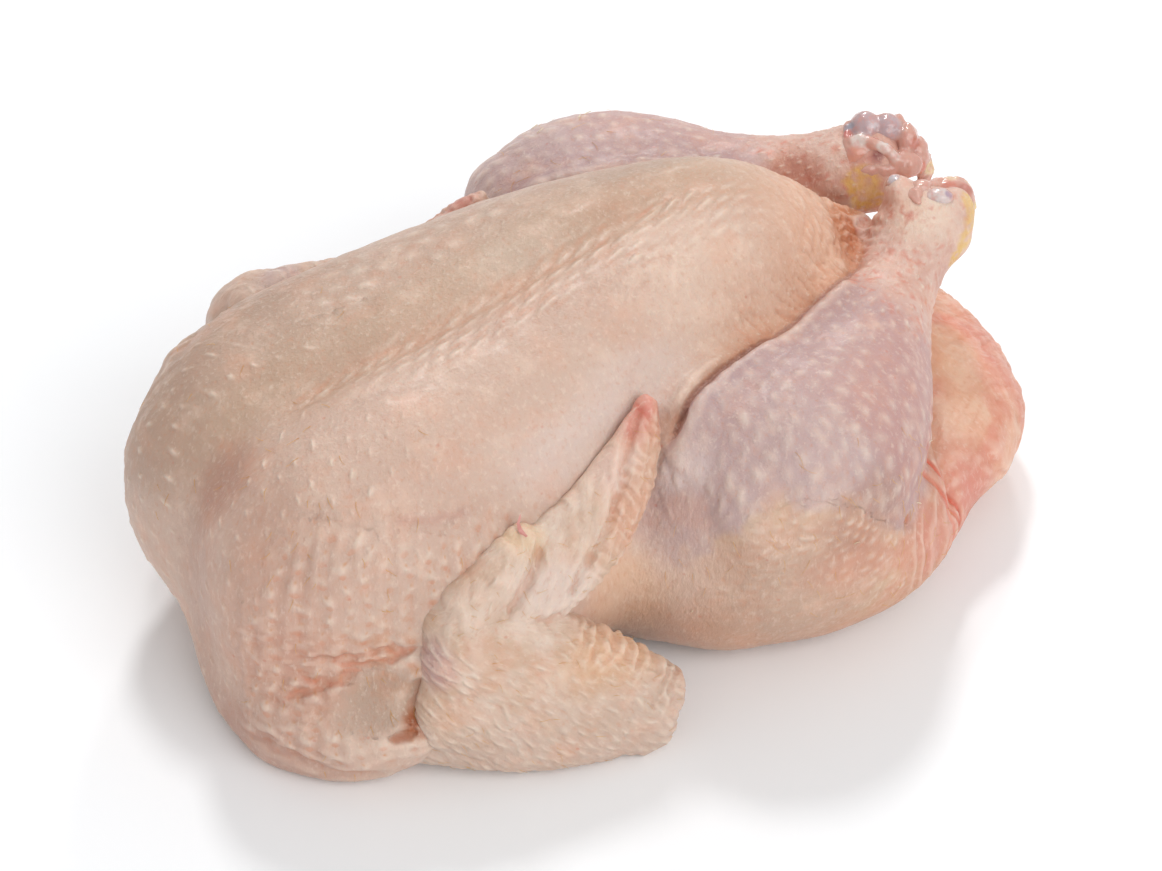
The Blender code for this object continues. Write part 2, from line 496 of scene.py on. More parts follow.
def snapped(skin, path):
    """The path cut into short steps, each brought to the nearest point of the skin."""
    path = rounded(path)
    steps = []
    for start, end in zip(path, path[1:]):
        count = max(1, int(np.linalg.norm(end - start) / 2.5))
        steps += [start + (end - start) * k / count for k in range(count)]
    steps.append(path[-1])
    return np.array([skin.at[np.argmin(((skin.at - step) ** 2).sum(axis=1))] for step in steps])


def stroke(skin, path, radius, height, fade=6.0):
    """Raises, or with a negative height presses in, a soft line along a path on the skin."""
    gap, along, length = near_path(skin.at, snapped(skin, path))
    ends = ramp(0, fade, along) * ramp(0, fade, length - along)
    skin.push(height * bell(gap, radius) * np.where(gap < radius * 3, ends, 0))


def mirrored(path, side):
    return [(x, side * y, z) for x, y, z in path]


# ---------------------------------------------------------------- the body


# Creases (height under 0) and folds on each side of the bird: path with y outward, radius, height.
SIDE_STROKES = (
    (
        [(24, 50, 76), (36, 43, 79), (48, 39, 79), (61, 34, 77), (73, 31, 76), (86, 25, 76), (98, 19, 75)],
        5.0,
        3.4,
    ),
    (
        [(12, 64, 72), (18, 60, 78), (28, 54, 81), (38, 49, 82), (54, 44, 81), (76, 37, 80), (94, 28, 79)],
        4.4,
        2.6,
    ),
    ([(18, 54, 66), (14, 57, 56), (11, 59, 46)], 3.0, -0.8),
    ([(106, 30, 58), (106, 40, 50), (104, 50, 44), (100, 58, 34), (94, 66, 24)], 3.2, -2.8),
    ([(103, 56, 36), (112, 54, 30), (120, 50, 22)], 1.6, -1.4),
    ([(-75, 34, 79), (-54, 47, 78), (-36, 52, 74), (-20, 55, 70)], 3.0, -0.7),
    ([(-76, 40, 72), (-54, 53, 70), (-34, 57, 66), (-18, 58, 62)], 6.0, 0.9),
    ([(-86, 34, 16), (-78, 50, 13), (-66, 60, 11)], 2.4, -1.8),
    ([(-88, 30, 8), (-80, 50, 6), (-64, 66, 5)], 4.0, 1.2),
    ([(81, 81, 46), (77, 83, 44), (74, 85, 42)], 2.2, -1.6),
)
# Sharp creases drawn last: path with y outward, radius, height, colour and its share; the colour is painted
# shade laid into the crease.
SHARP_STROKES = (
    ([(80, 81, 46), (77, 83, 44), (75, 84, 43)], 1.3, -1.1, "b5603f", 0.65),
    ([(-75, 49, 43), (-70, 53, 39), (-62, 57, 43), (-56, 60, 48)], 1.1, -1.2, "cb7c5c", 0.55),
    ([(-81, 45, 43), (-71, 51, 42), (-65, 54, 45), (-58, 59, 46)], 1.0, -0.9, "cb7c5c", 0.4),
    ([(-84, 44, 37), (-80, 48, 35), (-74, 52, 37), (-68, 54, 39)], 1.1, -1.2, "cb7c5c", 0.5),
    ([(-88, 42, 29), (-82, 47, 33), (-77, 50, 35)], 1.2, -1.1, "cb7c5c", 0.4),
    ([(-70, 63, 24), (-64, 66, 23), (-60, 67, 26)], 1.7, -1.8, "a5603c", 0.8),
)
# Straight creases of the fat behind each thigh: start and end with y outward, radius, height, colour, share.
RUMP_CREASES = (
    ((88, 56, 53), (106, 73, 15), 0.9, -0.9, "d9654c", 0.8),
    ((84, 66, 53), (105, 73, 16), 0.8, -0.7, "dd745c", 0.6),
    ((86, 63, 54), (101, 78, 20), 1.0, -0.4, "df8068", 0.35),
)
MIDDLE_STROKES = (
    ([(-66, 6, 83), (-30, 7, 92), (0, 8, 98), (30, 8, 104), (55, 7, 106), (78, 5, 98)], 5.6, 1.2),
    ([(-66, -3, 80), (-40, -4, 90), (-10, -5, 96), (15, -5, 101), (35, -4, 104), (56, -3, 105)], 4.0, -1.7),
)

# Both hock joints are cut open facing forward and up: across, over and out are the directions of the cut.
ACROSS = np.array((0.857, -0.515, 0.0))
OVER = np.array((0.345, 0.574, 0.743))
OUT = np.array((-0.383, -0.637, 0.669))
JOINTS = {"right": np.array((124.0, -15.0, 79.0)), "left": np.array((131.0, 15.0, 75.0))}

# Rounded lumps of skin at the right hock joint: place across, over and out, then sizes.
HOCK_SKIN = (
    ((-6.2, 6.0, 3.5), (4.4, 5.2, 6.0)),
    ((9.0, 0.5, 2.6), (5.6, 8.0, 4.6)),
)


def joint_place(name, place):
    across, over, out = place
    return JOINTS[name] + ACROSS * across + OVER * over + OUT * out


def lump(flesh, centre, sizes):
    """Adds a rounded form with half sizes across, over and out."""
    ways = [Vector(way) * size * MM for way, size in zip((ACROSS, OVER, OUT), sizes)]
    place = Matrix.Translation(mm(*centre)) @ Matrix(ways).transposed().to_4x4()
    bm = bmesh.new()
    bmesh.ops.create_icosphere(bm, subdivisions=3, radius=1, matrix=place)
    join(flesh, bm)


def tendon(flesh, points, radius, flat=1.0):
    """Adds a soft strand or rim of tissue through points."""
    loft(flesh, round_limb([(*point, radius, radius * flat) for point in points]), radius, radius)


# How far out the crease between breast and drumstick lies, from the wing's tip to the vent.
BREAST_CREASE = (
    (10, 20, 31, 43, 55, 66, 79, 88, 98, 104, 108, 112),
    (58, 54, 49, 44.5, 40, 37.5, 32, 29, 23, 18, 11, -30),
)


def beyond_crease(points):
    """How far outside the crease each point lies; under 0 on the breast's side."""
    return np.abs(points[:, 1]) - np.interp(points[:, 0], *BREAST_CREASE)


def on_breast(points):
    """1 on the breast's side of that crease, 0 on the leg's."""
    return ramp(1.0, -0.6, beyond_crease(points)) * ramp(60, 66, points[:, 2])


def by_crease(points, width):
    """1 on the breast beside that crease, falling to 0 over width."""
    x = points[:, 0]
    short = np.maximum(-beyond_crease(points), 0)
    return bell(short, width) * span(x, 14, 30, 100, 110) * on_breast(points)


def crease_gap(points):
    """Distance from that crease, or more beyond its ends."""
    x, y, z = points.T
    beyond = ramp(24, 12, x) + ramp(100, 106, x) + ramp(70, 64, z)
    return np.abs(beyond_crease(points)) + beyond * 6


def crease_depth(points):
    """How deep that crease is: uneven, and shallower towards the hocks."""
    uneven = np.clip(1 + 0.7 * clouds(points, 9, 111), 0.3, 1.2)
    return (1 - 0.45 * ramp(46, 74, points[:, 0])) * uneven


def rump_gap(points, start, end, side):
    """Distance from a straight crease of the rump, which runs over the surface between two places."""
    start, end = (np.array(place) * (1.0, side, 1.0) for place in (start, end))
    along = end - start
    length = np.linalg.norm(along)
    outward = np.array((0.6, 0.75 * side, 0.2))
    level = np.cross(along, outward)
    from_start = points - start
    off = from_start @ (level / np.linalg.norm(level)) + clouds(points, 9, 107, 1) * 1.2
    share = from_start @ along / length
    beyond = np.maximum(0, np.maximum(-share, share - length))
    return np.hypot(off, beyond + np.maximum(0, np.abs(from_start @ outward) - 14))


def body():
    """Trunk, thighs and drumsticks as one skin."""
    flesh = bmesh.new()
    trunk(flesh)
    made = object_of("chicken_skin", flesh)
    fused(made, TRUNK_VOXEL, 38)
    flesh = bmesh.new()
    flesh.from_mesh(made.data)
    for name, side in SIDES.items():
        drumstick(flesh, name, side)
    for place, sizes in HOCK_SKIN:
        lump(flesh, joint_place("right", place), sizes)
    flesh.to_mesh(made.data)
    flesh.free()
    fused(made, LIMB_VOXEL, 6)
    skin = Skin(made)
    for side in SIDES.values():
        soften(skin, ball(skin.at, (44, side * 80, 38), (50, 34, 28)), 60)
        soften(skin, ball(skin.at, (18, side * 62, 36), (22, 26, 24)), 30)
        for path, radius, height in SIDE_STROKES:
            stroke(skin, mirrored(path, side), radius, height)
    stroke(skin, [(-61, -65, 24), (-58, -63, 30), (-56, -62, 38)], 3.2, -3.4, 2)
    skin.push(-2.4 * ball(skin.at, (-68, -61, 33), (17, 12, 11)))
    for path, radius, height in MIDDLE_STROKES:
        stroke(skin, path, radius, height, 14)
    fused(made, BODY_SKIN_VOXEL, 1)
    skin = Skin(made)
    for side in SIDES.values():
        for path, radius, height, _, _ in SHARP_STROKES:
            stroke(skin, mirrored(path, side), radius, height)
        for start, end, radius, height, _, _ in RUMP_CREASES:
            skin.push(height * bell(rump_gap(skin.at, start, end, side), radius))
    skin.push(-1.6 * crease_depth(skin.at) * bell(crease_gap(skin.at), 1.6))
    return made


# Creases and folds of a wing, drawn like the others.
WING_STROKES = (
    ([(-21, 61, 66), (-23, 63, 63), (-27, 65, 60), (-32, 67, 57), (-37, 69, 54)], 1.3, -1.8),
    ([(-26, 58, 67), (-32, 60, 64), (-38, 62, 60)], 4.0, 1.5),
    ([(15, 48, 86), (9, 53, 81), (3, 59, 74), (-3, 64, 67), (-11, 67, 60), (-20, 70, 53)], 1.2, -1.7),
    ([(-19, 70, 48), (-25, 71, 48), (-30, 70, 52)], 1.6, -1.8),
    ([(-44, 62, 58), (-52, 65, 50), (-56, 66, 42)], 5.0, 0.9),
)


def wing_piece(name):
    side = SIDES[name]
    flesh = bmesh.new()
    wing(flesh, name, side)
    made = object_of(name + "_wing", flesh)
    fused(made, WING_VOXEL, 5)
    skin = Skin(made)
    for path, radius, height in WING_STROKES:
        stroke(skin, mirrored(path, side), radius, height, 3)
    fused(made, WING_SKIN_VOXEL, 1)
    return made


def placed(made):
    """Brings a piece from the bird's own frame to the table, and presses flat what would sink into it."""
    skin = Skin(made)
    skin.at -= (*MIDDLE, PRESSED)
    skin.at[:, 2] = np.maximum(skin.at[:, 2], 0)
    skin.write()
    for face in made.data.polygons:
        face.use_smooth = True
    declared(made)


# ---------------------------------------------------------------- goose-flesh and wrinkles


class Pits:
    """Feather pits in rows. Each region of a skin has its own grid, and its bumps fade where it ends."""

    def __init__(self, skin):
        self.skin = skin
        self.grid = np.zeros((skin.count, 3))
        self.form = np.ones((skin.count, 3))
        self.height = np.zeros(skin.count)
        self.best = np.zeros(skin.count)
        self.next = np.zeros(skin.count)

    def plant(self, u, v, pitch, weight, height, radii, seed, blush=0.5, wander=0.35, gain=1.0):
        """Bumps a pitch apart in u, in rows a pitch apart in v, each row half a pitch on from the last."""
        at = self.skin.at
        size = (pitch[0] + pitch[1]) / 2
        u = u / pitch[0] + wander * clouds(at, size * 1.7, seed, 1)
        v = v / pitch[1] / 2 + wander * 0.5 * clouds(at, size * 1.7, seed + 1, 1)
        strength = gain * np.clip(0.8 + 0.8 * clouds(at, size * 1.5, seed + 2, 1), 0.15, 1.3)
        wins = weight > self.best
        self.next = np.where(wins, self.best, np.maximum(self.next, weight))
        self.best = np.where(wins, weight, self.best)
        self.height = np.where(wins, height, self.height)
        forms = (u + v, u - v, strength), (radii[0] / pitch[0], radii[1] / pitch[1] / 2, blush)
        for kept, values in zip((self.grid, self.form), forms):
            for number, value in enumerate(values):
                kept[:, number] = np.where(wins, value, kept[:, number])

    def raise_bumps(self):
        """Lifts the bumps and keeps their grid, sizes and strength for the material."""
        self.grid[:, 2] *= np.clip(self.best - self.next, 0, 1)
        cell = self.grid[:, :2] % 1 - 0.5
        off = (cell[:, 0] + cell[:, 1]) / 2 / self.form[:, 0], (cell[:, 0] - cell[:, 1]) / 2 / self.form[:, 1]
        shape = np.exp(-(off[0] ** 2) - off[1] ** 2)
        self.skin.push(shape * self.height * self.grid[:, 2])
        self.skin.keep("pits", self.grid)
        self.skin.keep("pit_form", 1 / self.form * (1, 1, 0) + self.form * (0, 0, 1))


def leg_place(points, name):
    """How far along a leg each point is, its angle round it in radians, and 1 on the leg to 0 off it."""
    side = SIDES[name]
    rows = np.array(DRUMSTICKS[name], dtype=float)
    axis = rows[:, :3] * (1, side, 1)
    gap, along, _ = near_path(points, axis)
    steps = np.concatenate([[0], np.cumsum(np.linalg.norm(np.diff(axis, axis=0), axis=1))])
    radius = np.interp(along, steps, rows[:, 3])
    straight = axis[-1] - axis[0]
    straight /= np.linalg.norm(straight)
    across = np.cross(straight, (0, 0, 1))
    across /= np.linalg.norm(across)
    over = np.cross(across, straight)
    arm = points - axis[0]
    turn = np.arctan2(arm @ across * side, arm @ over)
    along = (points - axis[0]) @ straight
    bank = 0.3 * ramp(58, 70, points[:, 2])
    on = (1 - ramp(1.02, 1.22, gap / radius - bank)) * (1 - on_breast(points))
    return along, turn, on


def veil_edge(x, name):
    """How high the thin mauve skin over the meat of a leg begins; below it there is fat under the skin."""
    if name == "left":
        return np.full(len(x), 34.0)
    return np.interp(x, (0, 12, 20, 28, 38, 45, 52, 59, 68, 80), (38, 42, 52, 65, 69, 68, 65, 60, 49, 38))


def wrinkle(points, directions, sizes, seed, sharp=0.8):
    """Ridged noise from 0 to 1 stretched along chosen directions; sharp creases are at 0."""
    basis = np.array(directions, dtype=float)
    basis /= np.linalg.norm(basis, axis=1)[:, None]
    value = clouds(points @ basis.T, sizes, seed, 1)
    return np.minimum(np.abs(value) * 3.2, 1) ** sharp


def leg_pits(pits, name, pleated):
    """Pale dots over the mauve skin of a drumstick, and finer pits in the fat of the thigh below it."""
    points = pits.skin.at
    x, y, z = points.T
    side = SIDES[name]
    along, around, on = leg_place(points, name)
    here = y * side > 0
    mauve = on * here * ramp(-25, -5, along) * ramp(-4, 3, z - veil_edge(x, name))
    down = around * -26
    across, up = 0.59 * along + 0.81 * down, 0.81 * along - 0.59 * down
    small = ramp(50, 74, along)
    long = 1.6 + 1.1 * ramp(30, 8, along) * ramp(48, 58, z) - 0.8 * small
    weight, radii = mauve * ramp(104, 92, along), (1.5 - 0.75 * small, long)
    pits.plant(across, up, (6.4, 4.7), weight, 0.42, radii, 3 + side, 0.1 + 0.5 * small, 0.35, 0.8)
    thigh = np.clip(ball(points, (64, side * 76, 36), (58, 44, 50)) * 2.2, 0, 1) * here * (1 - mauve)
    below = veil_edge(x, name) - z + clouds(points, 14, 93) * 10
    fade = 0.18 + 0.62 * ramp(34, 10, below) * ramp(14, 34, x)
    weight, height = thigh * (z > 6) * (1 - pleated), 0.46 * fade + 0.1
    across, up = x + z * 0.3, z * 1.05 - x * 0.2
    pits.plant(across, up, (5.6, 3.7), weight, height, (1.6, 1.4), 9 + side, 0.7, 0.62, fade)


def front_pits(pits, stripes, low_side):
    """Rows of pits down the sides of the neck end, and round lobes over its front."""
    x, y, z = pits.skin.at.T
    around = np.arctan2(np.abs(y), -(x + 22)) * 62 + 620 * np.sign(y)
    pits.plant(around, z * 1.1, (9.6, 3.2), stripes, 0.55, (1.2, 1.8), 21, 0.8, 0.28, 1.1)
    lobes = ramp(-20, -60, x) * (1 - low_side) * ramp(3, 8, np.abs(y)) * 0.9
    slanted = np.abs(y) + x + 900 * np.sign(y)
    pits.plant(slanted, z + x * 0.8, (8.5, 7.5), lobes, 0.42, (0.95, 1.05), 33, 0.25, 0.42, 1.3)
    return around


def keel_pits(pits):
    """Broad slanted pits beside the keel, closer on the right."""
    x, y, z = pits.skin.at.T
    right = span(y, -24, -15, -2, 1) * span(x, -66, -52, 60, 84)
    pits.plant(x - y * 1.69, y / 0.51, (6.4, 8.6), right * (z > 60), 0.46, (2.3, 2.8), 41, 0.45, 0.32, 1.25)
    left = span(y, 12, 18, 28, 40) * span(x, -70, -56, 0, 36)
    pits.plant(y, x, (7.5, 6.5), left * (z > 60) * 0.8, 0.42, (1.8, 2.8), 45, 0.3, 0.45, 1.3)


# The three ways of the drawn skin at the rump, with y outward: across its fine streaks, along them, and out.
STREAK_WAYS = ((0.45, 0.85, 0.2), (0.67, 0.39, -0.62), (0.5, -0.3, 0.8))
# The bare drawn skin before the right wing: its middle and its size.
BARE_PATCH = ((-68, -60, 32), (19, 13, 12))


def body_relief(skin):
    """Goose-flesh in rows, creased and crinkled skin over the whole body."""
    points = skin.at
    x, y, z = points.T
    pits = Pits(skin)
    bare = ramp(0.05, 0.5, ball(points, *BARE_PATCH) + clouds(points, 5, 79) * 0.15)
    pleated = {}
    for side in SIDES.values():
        pleated[side] = np.clip(ball(points, (86, side * 81, 29), (17, 14, 18)) * 1.8, 0, 1)
    level = z + x * 0.14 + clouds(points, 12, 3) * 6
    low_side = ramp(26, 38, np.abs(y)) * ramp(73, 63, level)
    stripes = ramp(0, -30, x) * ramp(10, 18, z) * (1 - bare) * low_side
    for name, side in SIDES.items():
        leg_pits(pits, name, pleated[side])
    around = front_pits(pits, stripes, low_side)
    keel_pits(pits)
    pits.raise_bumps()

    ridges = waves(around - 2.4, 4.8) * ramp(-0.9, 0.3, clouds(points, 16, 5))
    lift = ridges * stripes * 0.32 + clouds(points, 15, 7) * 0.40 + clouds(points, 3.4, 2) * 0.10
    crinkle = wrinkle(points, ((1, 0, -0.5), (0, 1, 0), (0.5, 0, 1)), (4.0, 8.0, 4.0), 11, 0.7)
    folds = wrinkle(points, ((0, 0, 1), (1, 1, 0), (1, -1, 0)), (3.4, 16, 16), 15)
    outward = outwards(points)
    streaks = wrinkle(outward, STREAK_WAYS, (2.4, 15, 9), 19)
    drawn = wrinkle(outward, ((0.88, -0.42, 0.1), (0.35, 0.75, -0.5), (0.3, 0.4, 0.85)), (2.7, 8, 9), 27)
    combed = wrinkle(points, (ACROSS, OVER, OUT), (2.4, 13, 13), 23)
    rump = ball(points, (130, -14, 24), (46, 60, 40))
    creased = (
        (crinkle, ball(points, (88, 0, 76), (36, 34, 34)) * 0.9 + rump * 0.3),
        (folds, stripes * ramp(58, 44, z) * 0.7),
        (streaks, rump * 0.6 + ball(outward, (108, 62, 20), (30, 26, 26)) * 0.4),
        (drawn, by_crease(points, 14) * ramp(30, 62, x) * 0.85),
        (combed, ball(points, (36, -22, 96), (36, 13, 20)) * 0.6),
    )
    for wrinkles, share in creased:
        lift += (wrinkles - 0.8) * share
    lift += clouds(points, 6, 99) * rump * 0.7
    for side in SIDES.values():
        level = points @ np.array((0.857, 0.515 * side, 0)) + clouds(points, 9, 77, 1) * 2
        lift += waves(level, 3.4) * pleated[side] * 0.45
    gathered = waves(points @ OVER + clouds(points, 7, 25) * 2.4, 3.0)
    lift += gathered * ball(points, (106, -4, 77), (17, 20, 14)) * 0.5
    skin.push(lift)
    keep_flow(skin, rump)
    keep_creases(skin)


def keep_flow(skin, rump):
    """Keeps the places that the fine dashes follow: upright on the body, along the streaks at the rump."""
    squeeze = np.array((1, 1, 0.42))
    middle = np.array((118, 40, 40))
    across, along, out = STREAK_WAYS
    turned = (outwards(skin.at) - middle) @ np.array((along, across, out)).T * (0.22, 1, 1)
    sign = np.sign(skin.at[:, 1])
    turned += np.stack([np.full(skin.count, 118), sign * 40, np.full(skin.count, 40)], axis=1) * squeeze
    flow = skin.at * squeeze
    share = rump * ramp(0, 8, np.abs(skin.at[:, 1]))
    skin.keep("flow", flow + (turned - flow) * share[:, None])


def keep_creases(skin):
    """Keeps each point's distance from the nearest sharp crease, in crease widths, and its colour: painted
    shade in the breast crease and the folds, the skin's own red in the rump creases.
    """
    nearest = crease_gap(skin.at) / 1.1
    strength = 0.75 * np.clip(crease_depth(skin.at), 0, 1)
    # Painted shade for the crease between breast and leg.
    colour = np.tile(linear("86503f")[:3], (skin.count, 1))
    for side in SIDES.values():
        others = []
        for path, radius, _, code, share in SHARP_STROKES:
            gap, along, length = near_path(skin.at, snapped(skin, mirrored(path, side)))
            ends = ramp(0, 4, along) * ramp(0, 4, length - along)
            others.append((gap / radius + (1 - ends) * 1.4, code, share))
        for start, end, radius, _, code, share in RUMP_CREASES:
            others.append((rump_gap(skin.at, start, end, side) / radius, code, share))
        for reach, code, share in others:
            closer = reach < nearest
            nearest = np.where(closer, reach, nearest)
            strength = np.where(closer, share, strength)
            colour[closer] = linear(code)[:3]
    skin.keep("crease", np.stack([nearest, strength, np.zeros(skin.count)], axis=1))
    skin.paint("crease_tint", colour)


def wing_relief(skin, side):
    """Small slanted scales of skin over the forearm, folds along its edge, and streaks down the hand."""
    points = skin.at * (1, side, 1)
    x, y, z = points.T
    pits = Pits(skin)
    edge = np.array((30.0, 10, -24))
    edge /= np.linalg.norm(edge)
    from_wrist = points - np.array((-16, 73, 42))
    run = from_wrist @ edge
    drop = -(from_wrist @ np.array((0.5, 0.25, 0.83)))
    hand = ramp(44, 52, z + np.maximum(x + 24, -12) * 0.4)
    forearm = (1 - hand) * ramp(44, 54, y)
    slant = np.array((0.7, -0.1, -0.7))
    across, up = drop - run * 0.2, points @ slant
    pits.plant(across, up, (3.4, 4.6), forearm, 0.26, (0.7, 2.1), 61 + side, 0.22, 0.45, 1.1)
    up, back = x * 0.6 + z * 0.8, x * 0.8 - z * 0.6
    pits.plant(back, up, (4.2, 5.5), hand * 0.8, 0.12, (0.6, 1.8), 65 + side, 0.1, 0.5)
    pits.raise_bumps()
    at_edge = span(run, -4, 2, 30, 40) * np.exp(-np.maximum(drop, 0) / 5)
    phase = run + drop * 0.45 + clouds(points, 7, 67) * 3.2
    folds = waves(phase, 4.3) * at_edge * forearm
    up_hand = np.array(((0.6, 0.1, 0.75), (0.8, 0, -0.6), (0, 1, 0)))
    streaks = wrinkle(points, up_hand, (16, 2.6, 10), 69)
    trailing = hand * ramp(-0.5, 1.5, 0.69 * x - 0.73 * z + 52)
    dashes = wrinkle(points, (slant, (0.7, 0, 0.7), (0, 1, 0)), (9, 1.7, 8), 71)
    scallop = waves(0.73 * x + 0.69 * z + clouds(points, 6, 75, 1) * 3, 3.0) * trailing
    lift = folds * 0.7 + (streaks - 0.8) * hand * 0.45 + (dashes - 0.8) * forearm * 0.4
    lift += scallop * 0.2 * (1 + clouds(points, 6, 81, 1)) + clouds(points, 5, 73) * 0.2
    skin.push(lift)
    skin.keep("crease", np.tile((9.0, 0.0, 0.0), (skin.count, 1)))
    near = points - np.array((-38, 66, 50))
    over_arm = np.array((slant, (0.65, 0.4, 0.6), (0.2, -0.9, 0.3)))
    flow = (near @ up_hand.T) * hand[:, None] + (near @ over_arm.T) * (1 - hand[:, None])
    skin.keep("flow", flow * (0.35, 1.15, 1.15))


def cavity(skin, rounds, scale):
    """How far each point stands out of (over 0) or lies in (under 0) the skin round it, from -1 to 1."""
    kept = skin.at.copy()
    normal = skin.normal.copy()
    soften(skin, np.ones(skin.count), rounds)
    out = ((kept - skin.at) * normal).sum(axis=1)
    skin.at = kept
    skin.write()
    return np.clip(out / scale, -1, 1)


# ---------------------------------------------------------------- colours


def linear(code):
    """An sRGB hex value as the linear colour a shader works with."""
    return (*light_of(srgb(code)), 1.0)


def srgb(code):
    return np.array([int(code[k : k + 2], 16) / 255 for k in (0, 2, 4)])


def light_of(colour):
    """The light that sRGB values stand for."""
    return np.where(colour <= 0.04045, colour / 12.92, ((colour + 0.055) / 1.055) ** 2.4)


class Tint:
    """A skin's own colour, painted over point by point with soft patches."""

    def __init__(self, skin, code):
        self.skin = skin
        self.colour = np.tile(srgb(code), (skin.count, 1))

    def over(self, code, share):
        self.colour += (srgb(code) - self.colour) * np.clip(share, 0, 1)[:, None]

    def patches(self, points, rows, within=1.0):
        """Rows of colour, middle, size and share, each painted over the last."""
        for code, middle, size, share in rows:
            self.over(code, ball(points, middle, size) * share * within)

    def keep(self):
        """Stores the colours on the skin, brought down a little for the light of the studio."""
        self.skin.paint("tint", light_of(self.colour * 0.955))


def line_share(skin, path, radius):
    """1 on a path drawn over the skin to 0 beyond its radius."""
    return bell(near_path(skin.at, snapped(skin, path))[0], radius)


# Patches of colour: sRGB value, middle, size and share.
BREAST_TINTS = (
    ("e8cbb8", (48, -24, 92), (34, 24, 26), 0.8),
    ("e6b79c", (88, -8, 82), (34, 34, 30), 0.8),
    ("cf8a64", (110, -5, 70), (17, 22, 22), 0.9),
    # Painted shade along the rear of the keel strip, which faces away from the light.
    ("c6a189", (34, 4, 104), (40, 9, 16), 0.7),
    # Painted shade on the far front lobe and the far side of the breast, turned from the light.
    ("b8957f", (-80, 34, 66), (36, 34, 32), 0.5),
    ("ab8a74", (-46, 34, 80), (38, 22, 22), 0.5),
    ("cf9c88", (-80, -28, 46), (26, 36, 44), 0.4),
    ("c79a86", (-72, -24, 68), (16, 14, 22), 0.5),
    ("e6d0c6", (-4, -50, 80), (28, 15, 17), 0.65),
    ("ddc7bc", (16, -50, 84), (16, 12, 12), 0.7),
    # Painted shade in the valley between the two breast lobes.
    ("bd8a76", (-80, -6, 68), (16, 15, 20), 0.6),
    ("c29583", (-90, -8, 44), (22, 16, 34), 0.4),
    ("cf9a84", (-82, -42, 38), (22, 26, 20), 0.5),
    ("bd8a7a", (-84, -34, 12), (30, 36, 16), 0.5),
    ("c2a592", *BARE_PATCH, 1.1),
    # Painted shade in the gap beside the right wing.
    ("a8603c", (-60, -66, 26), (6, 7, 6), 1.3),
)
KEEL_TINTS = (
    ("ead7cf", (20, -43, 88), (26, 14, 14), 0.45),
    ("bf7a5a", (104, -12, 78), (16, 13, 13), 0.5),
    ("c07046", (106, -9, 78), (12, 12, 9), 0.7),
    ("a88a74", (-44, 8, 91), (30, 22, 16), 0.2),
    ("ddd0c0", (10, 3, 102), (26, 10, 12), 0.35),
    # Painted shade on the far slope of the keel at the rear.
    ("b39580", (54, 15, 106), (28, 14, 12), 0.4),
)
# The same for both legs, with y outward.
THIGH_TINTS = (
    ("c9ab98", (40, 84, 34), (34, 26, 34), 0.8),
    # Painted light lifting the wing's shadow off the body behind it.
    ("e2c4b2", (12, 66, 46), (22, 20, 28), 0.8),
    ("f0dccf", (4, 62, 44), (15, 14, 18), 0.95),
    ("d0967f", (64, 86, 43), (30, 14, 12), 0.7),
)
DRUMSTICK_TINTS = (
    ("c0a19c", (34, 62, 66), (28, 26, 30), 0.35),
    # Painted shade on the drumstick's lower rear.
    ("b5908f", (80, 74, 54), (22, 18, 20), 0.65),
    ("a98580", (70, 84, 58), (18, 14, 18), 0.5),
)
KNEE_TINTS = (
    # Painted light lifting the shade in front of the knee, by the wing's tip.
    ("e8d4d0", (25, 61, 69), (10, 9, 11), 0.7),
    ("f3e2dc", (18, 57, 70), (8, 8, 10), 0.5),
    ("dc9880", (76, 86, 36), (12, 10, 10), 0.5),
)
RUMP_TINTS = (
    ("dc9a74", (112, 30, 52), (16, 20, 16), 0.7),
    # Painted light where the leg shades the rump.
    ("efc6a6", (122, 38, 44), (17, 19, 14), 0.4),
    ("d98f80", (142, 30, 30), (15, 30, 24), 0.6),
)
RUMP_EDGE_TINTS = (
    ("df8d7b", (104, 68, 24), (22, 20, 24), 0.9),
    ("dc9884", (86, 80, 32), (12, 10, 18), 0.9),
)
# Round the hock joints, with y to the bird's left.
HOCK_TINTS = (
    ("d08f80", (129, 12, 86), (6, 6, 6), 1.3),
    ("dba394", joint_place("right", (0, 4, 7)), (6, 4, 6), 0.9),
    # Creamier skin on the right hock, made paler still as painted light against the shade there.
    ("f1d8c4", (121, -21, 83), (13, 10, 14), 0.85),
)
# Painted shade under the hocks: the far leg's underside and the leg below the right hock.
BELOW_HOCK_SHADE = (
    ("9a644e", (111, 10, 69), (9, 8, 8), 0.8),
    ("a8604c", (107, 20, 77), (12, 11, 8), 0.65),
    ("cf9f92", (122, -30, 68), (8, 8, 8), 0.7),
)
# Where yellow skin of the shank is left on the hocks: a place and the size of its patch.
SHANK_SKIN = (
    ((135, -22, 84), 4.6),
    ((133.5, -25, 80), 4.6),
    ((130.5, -27.5, 76), 4.4),
    ((127.5, -28.5, 72), 4),
    ((120, 7, 77), 6),
    ((121, 5, 72), 6),
    ((138, 4, 79), 5),
)


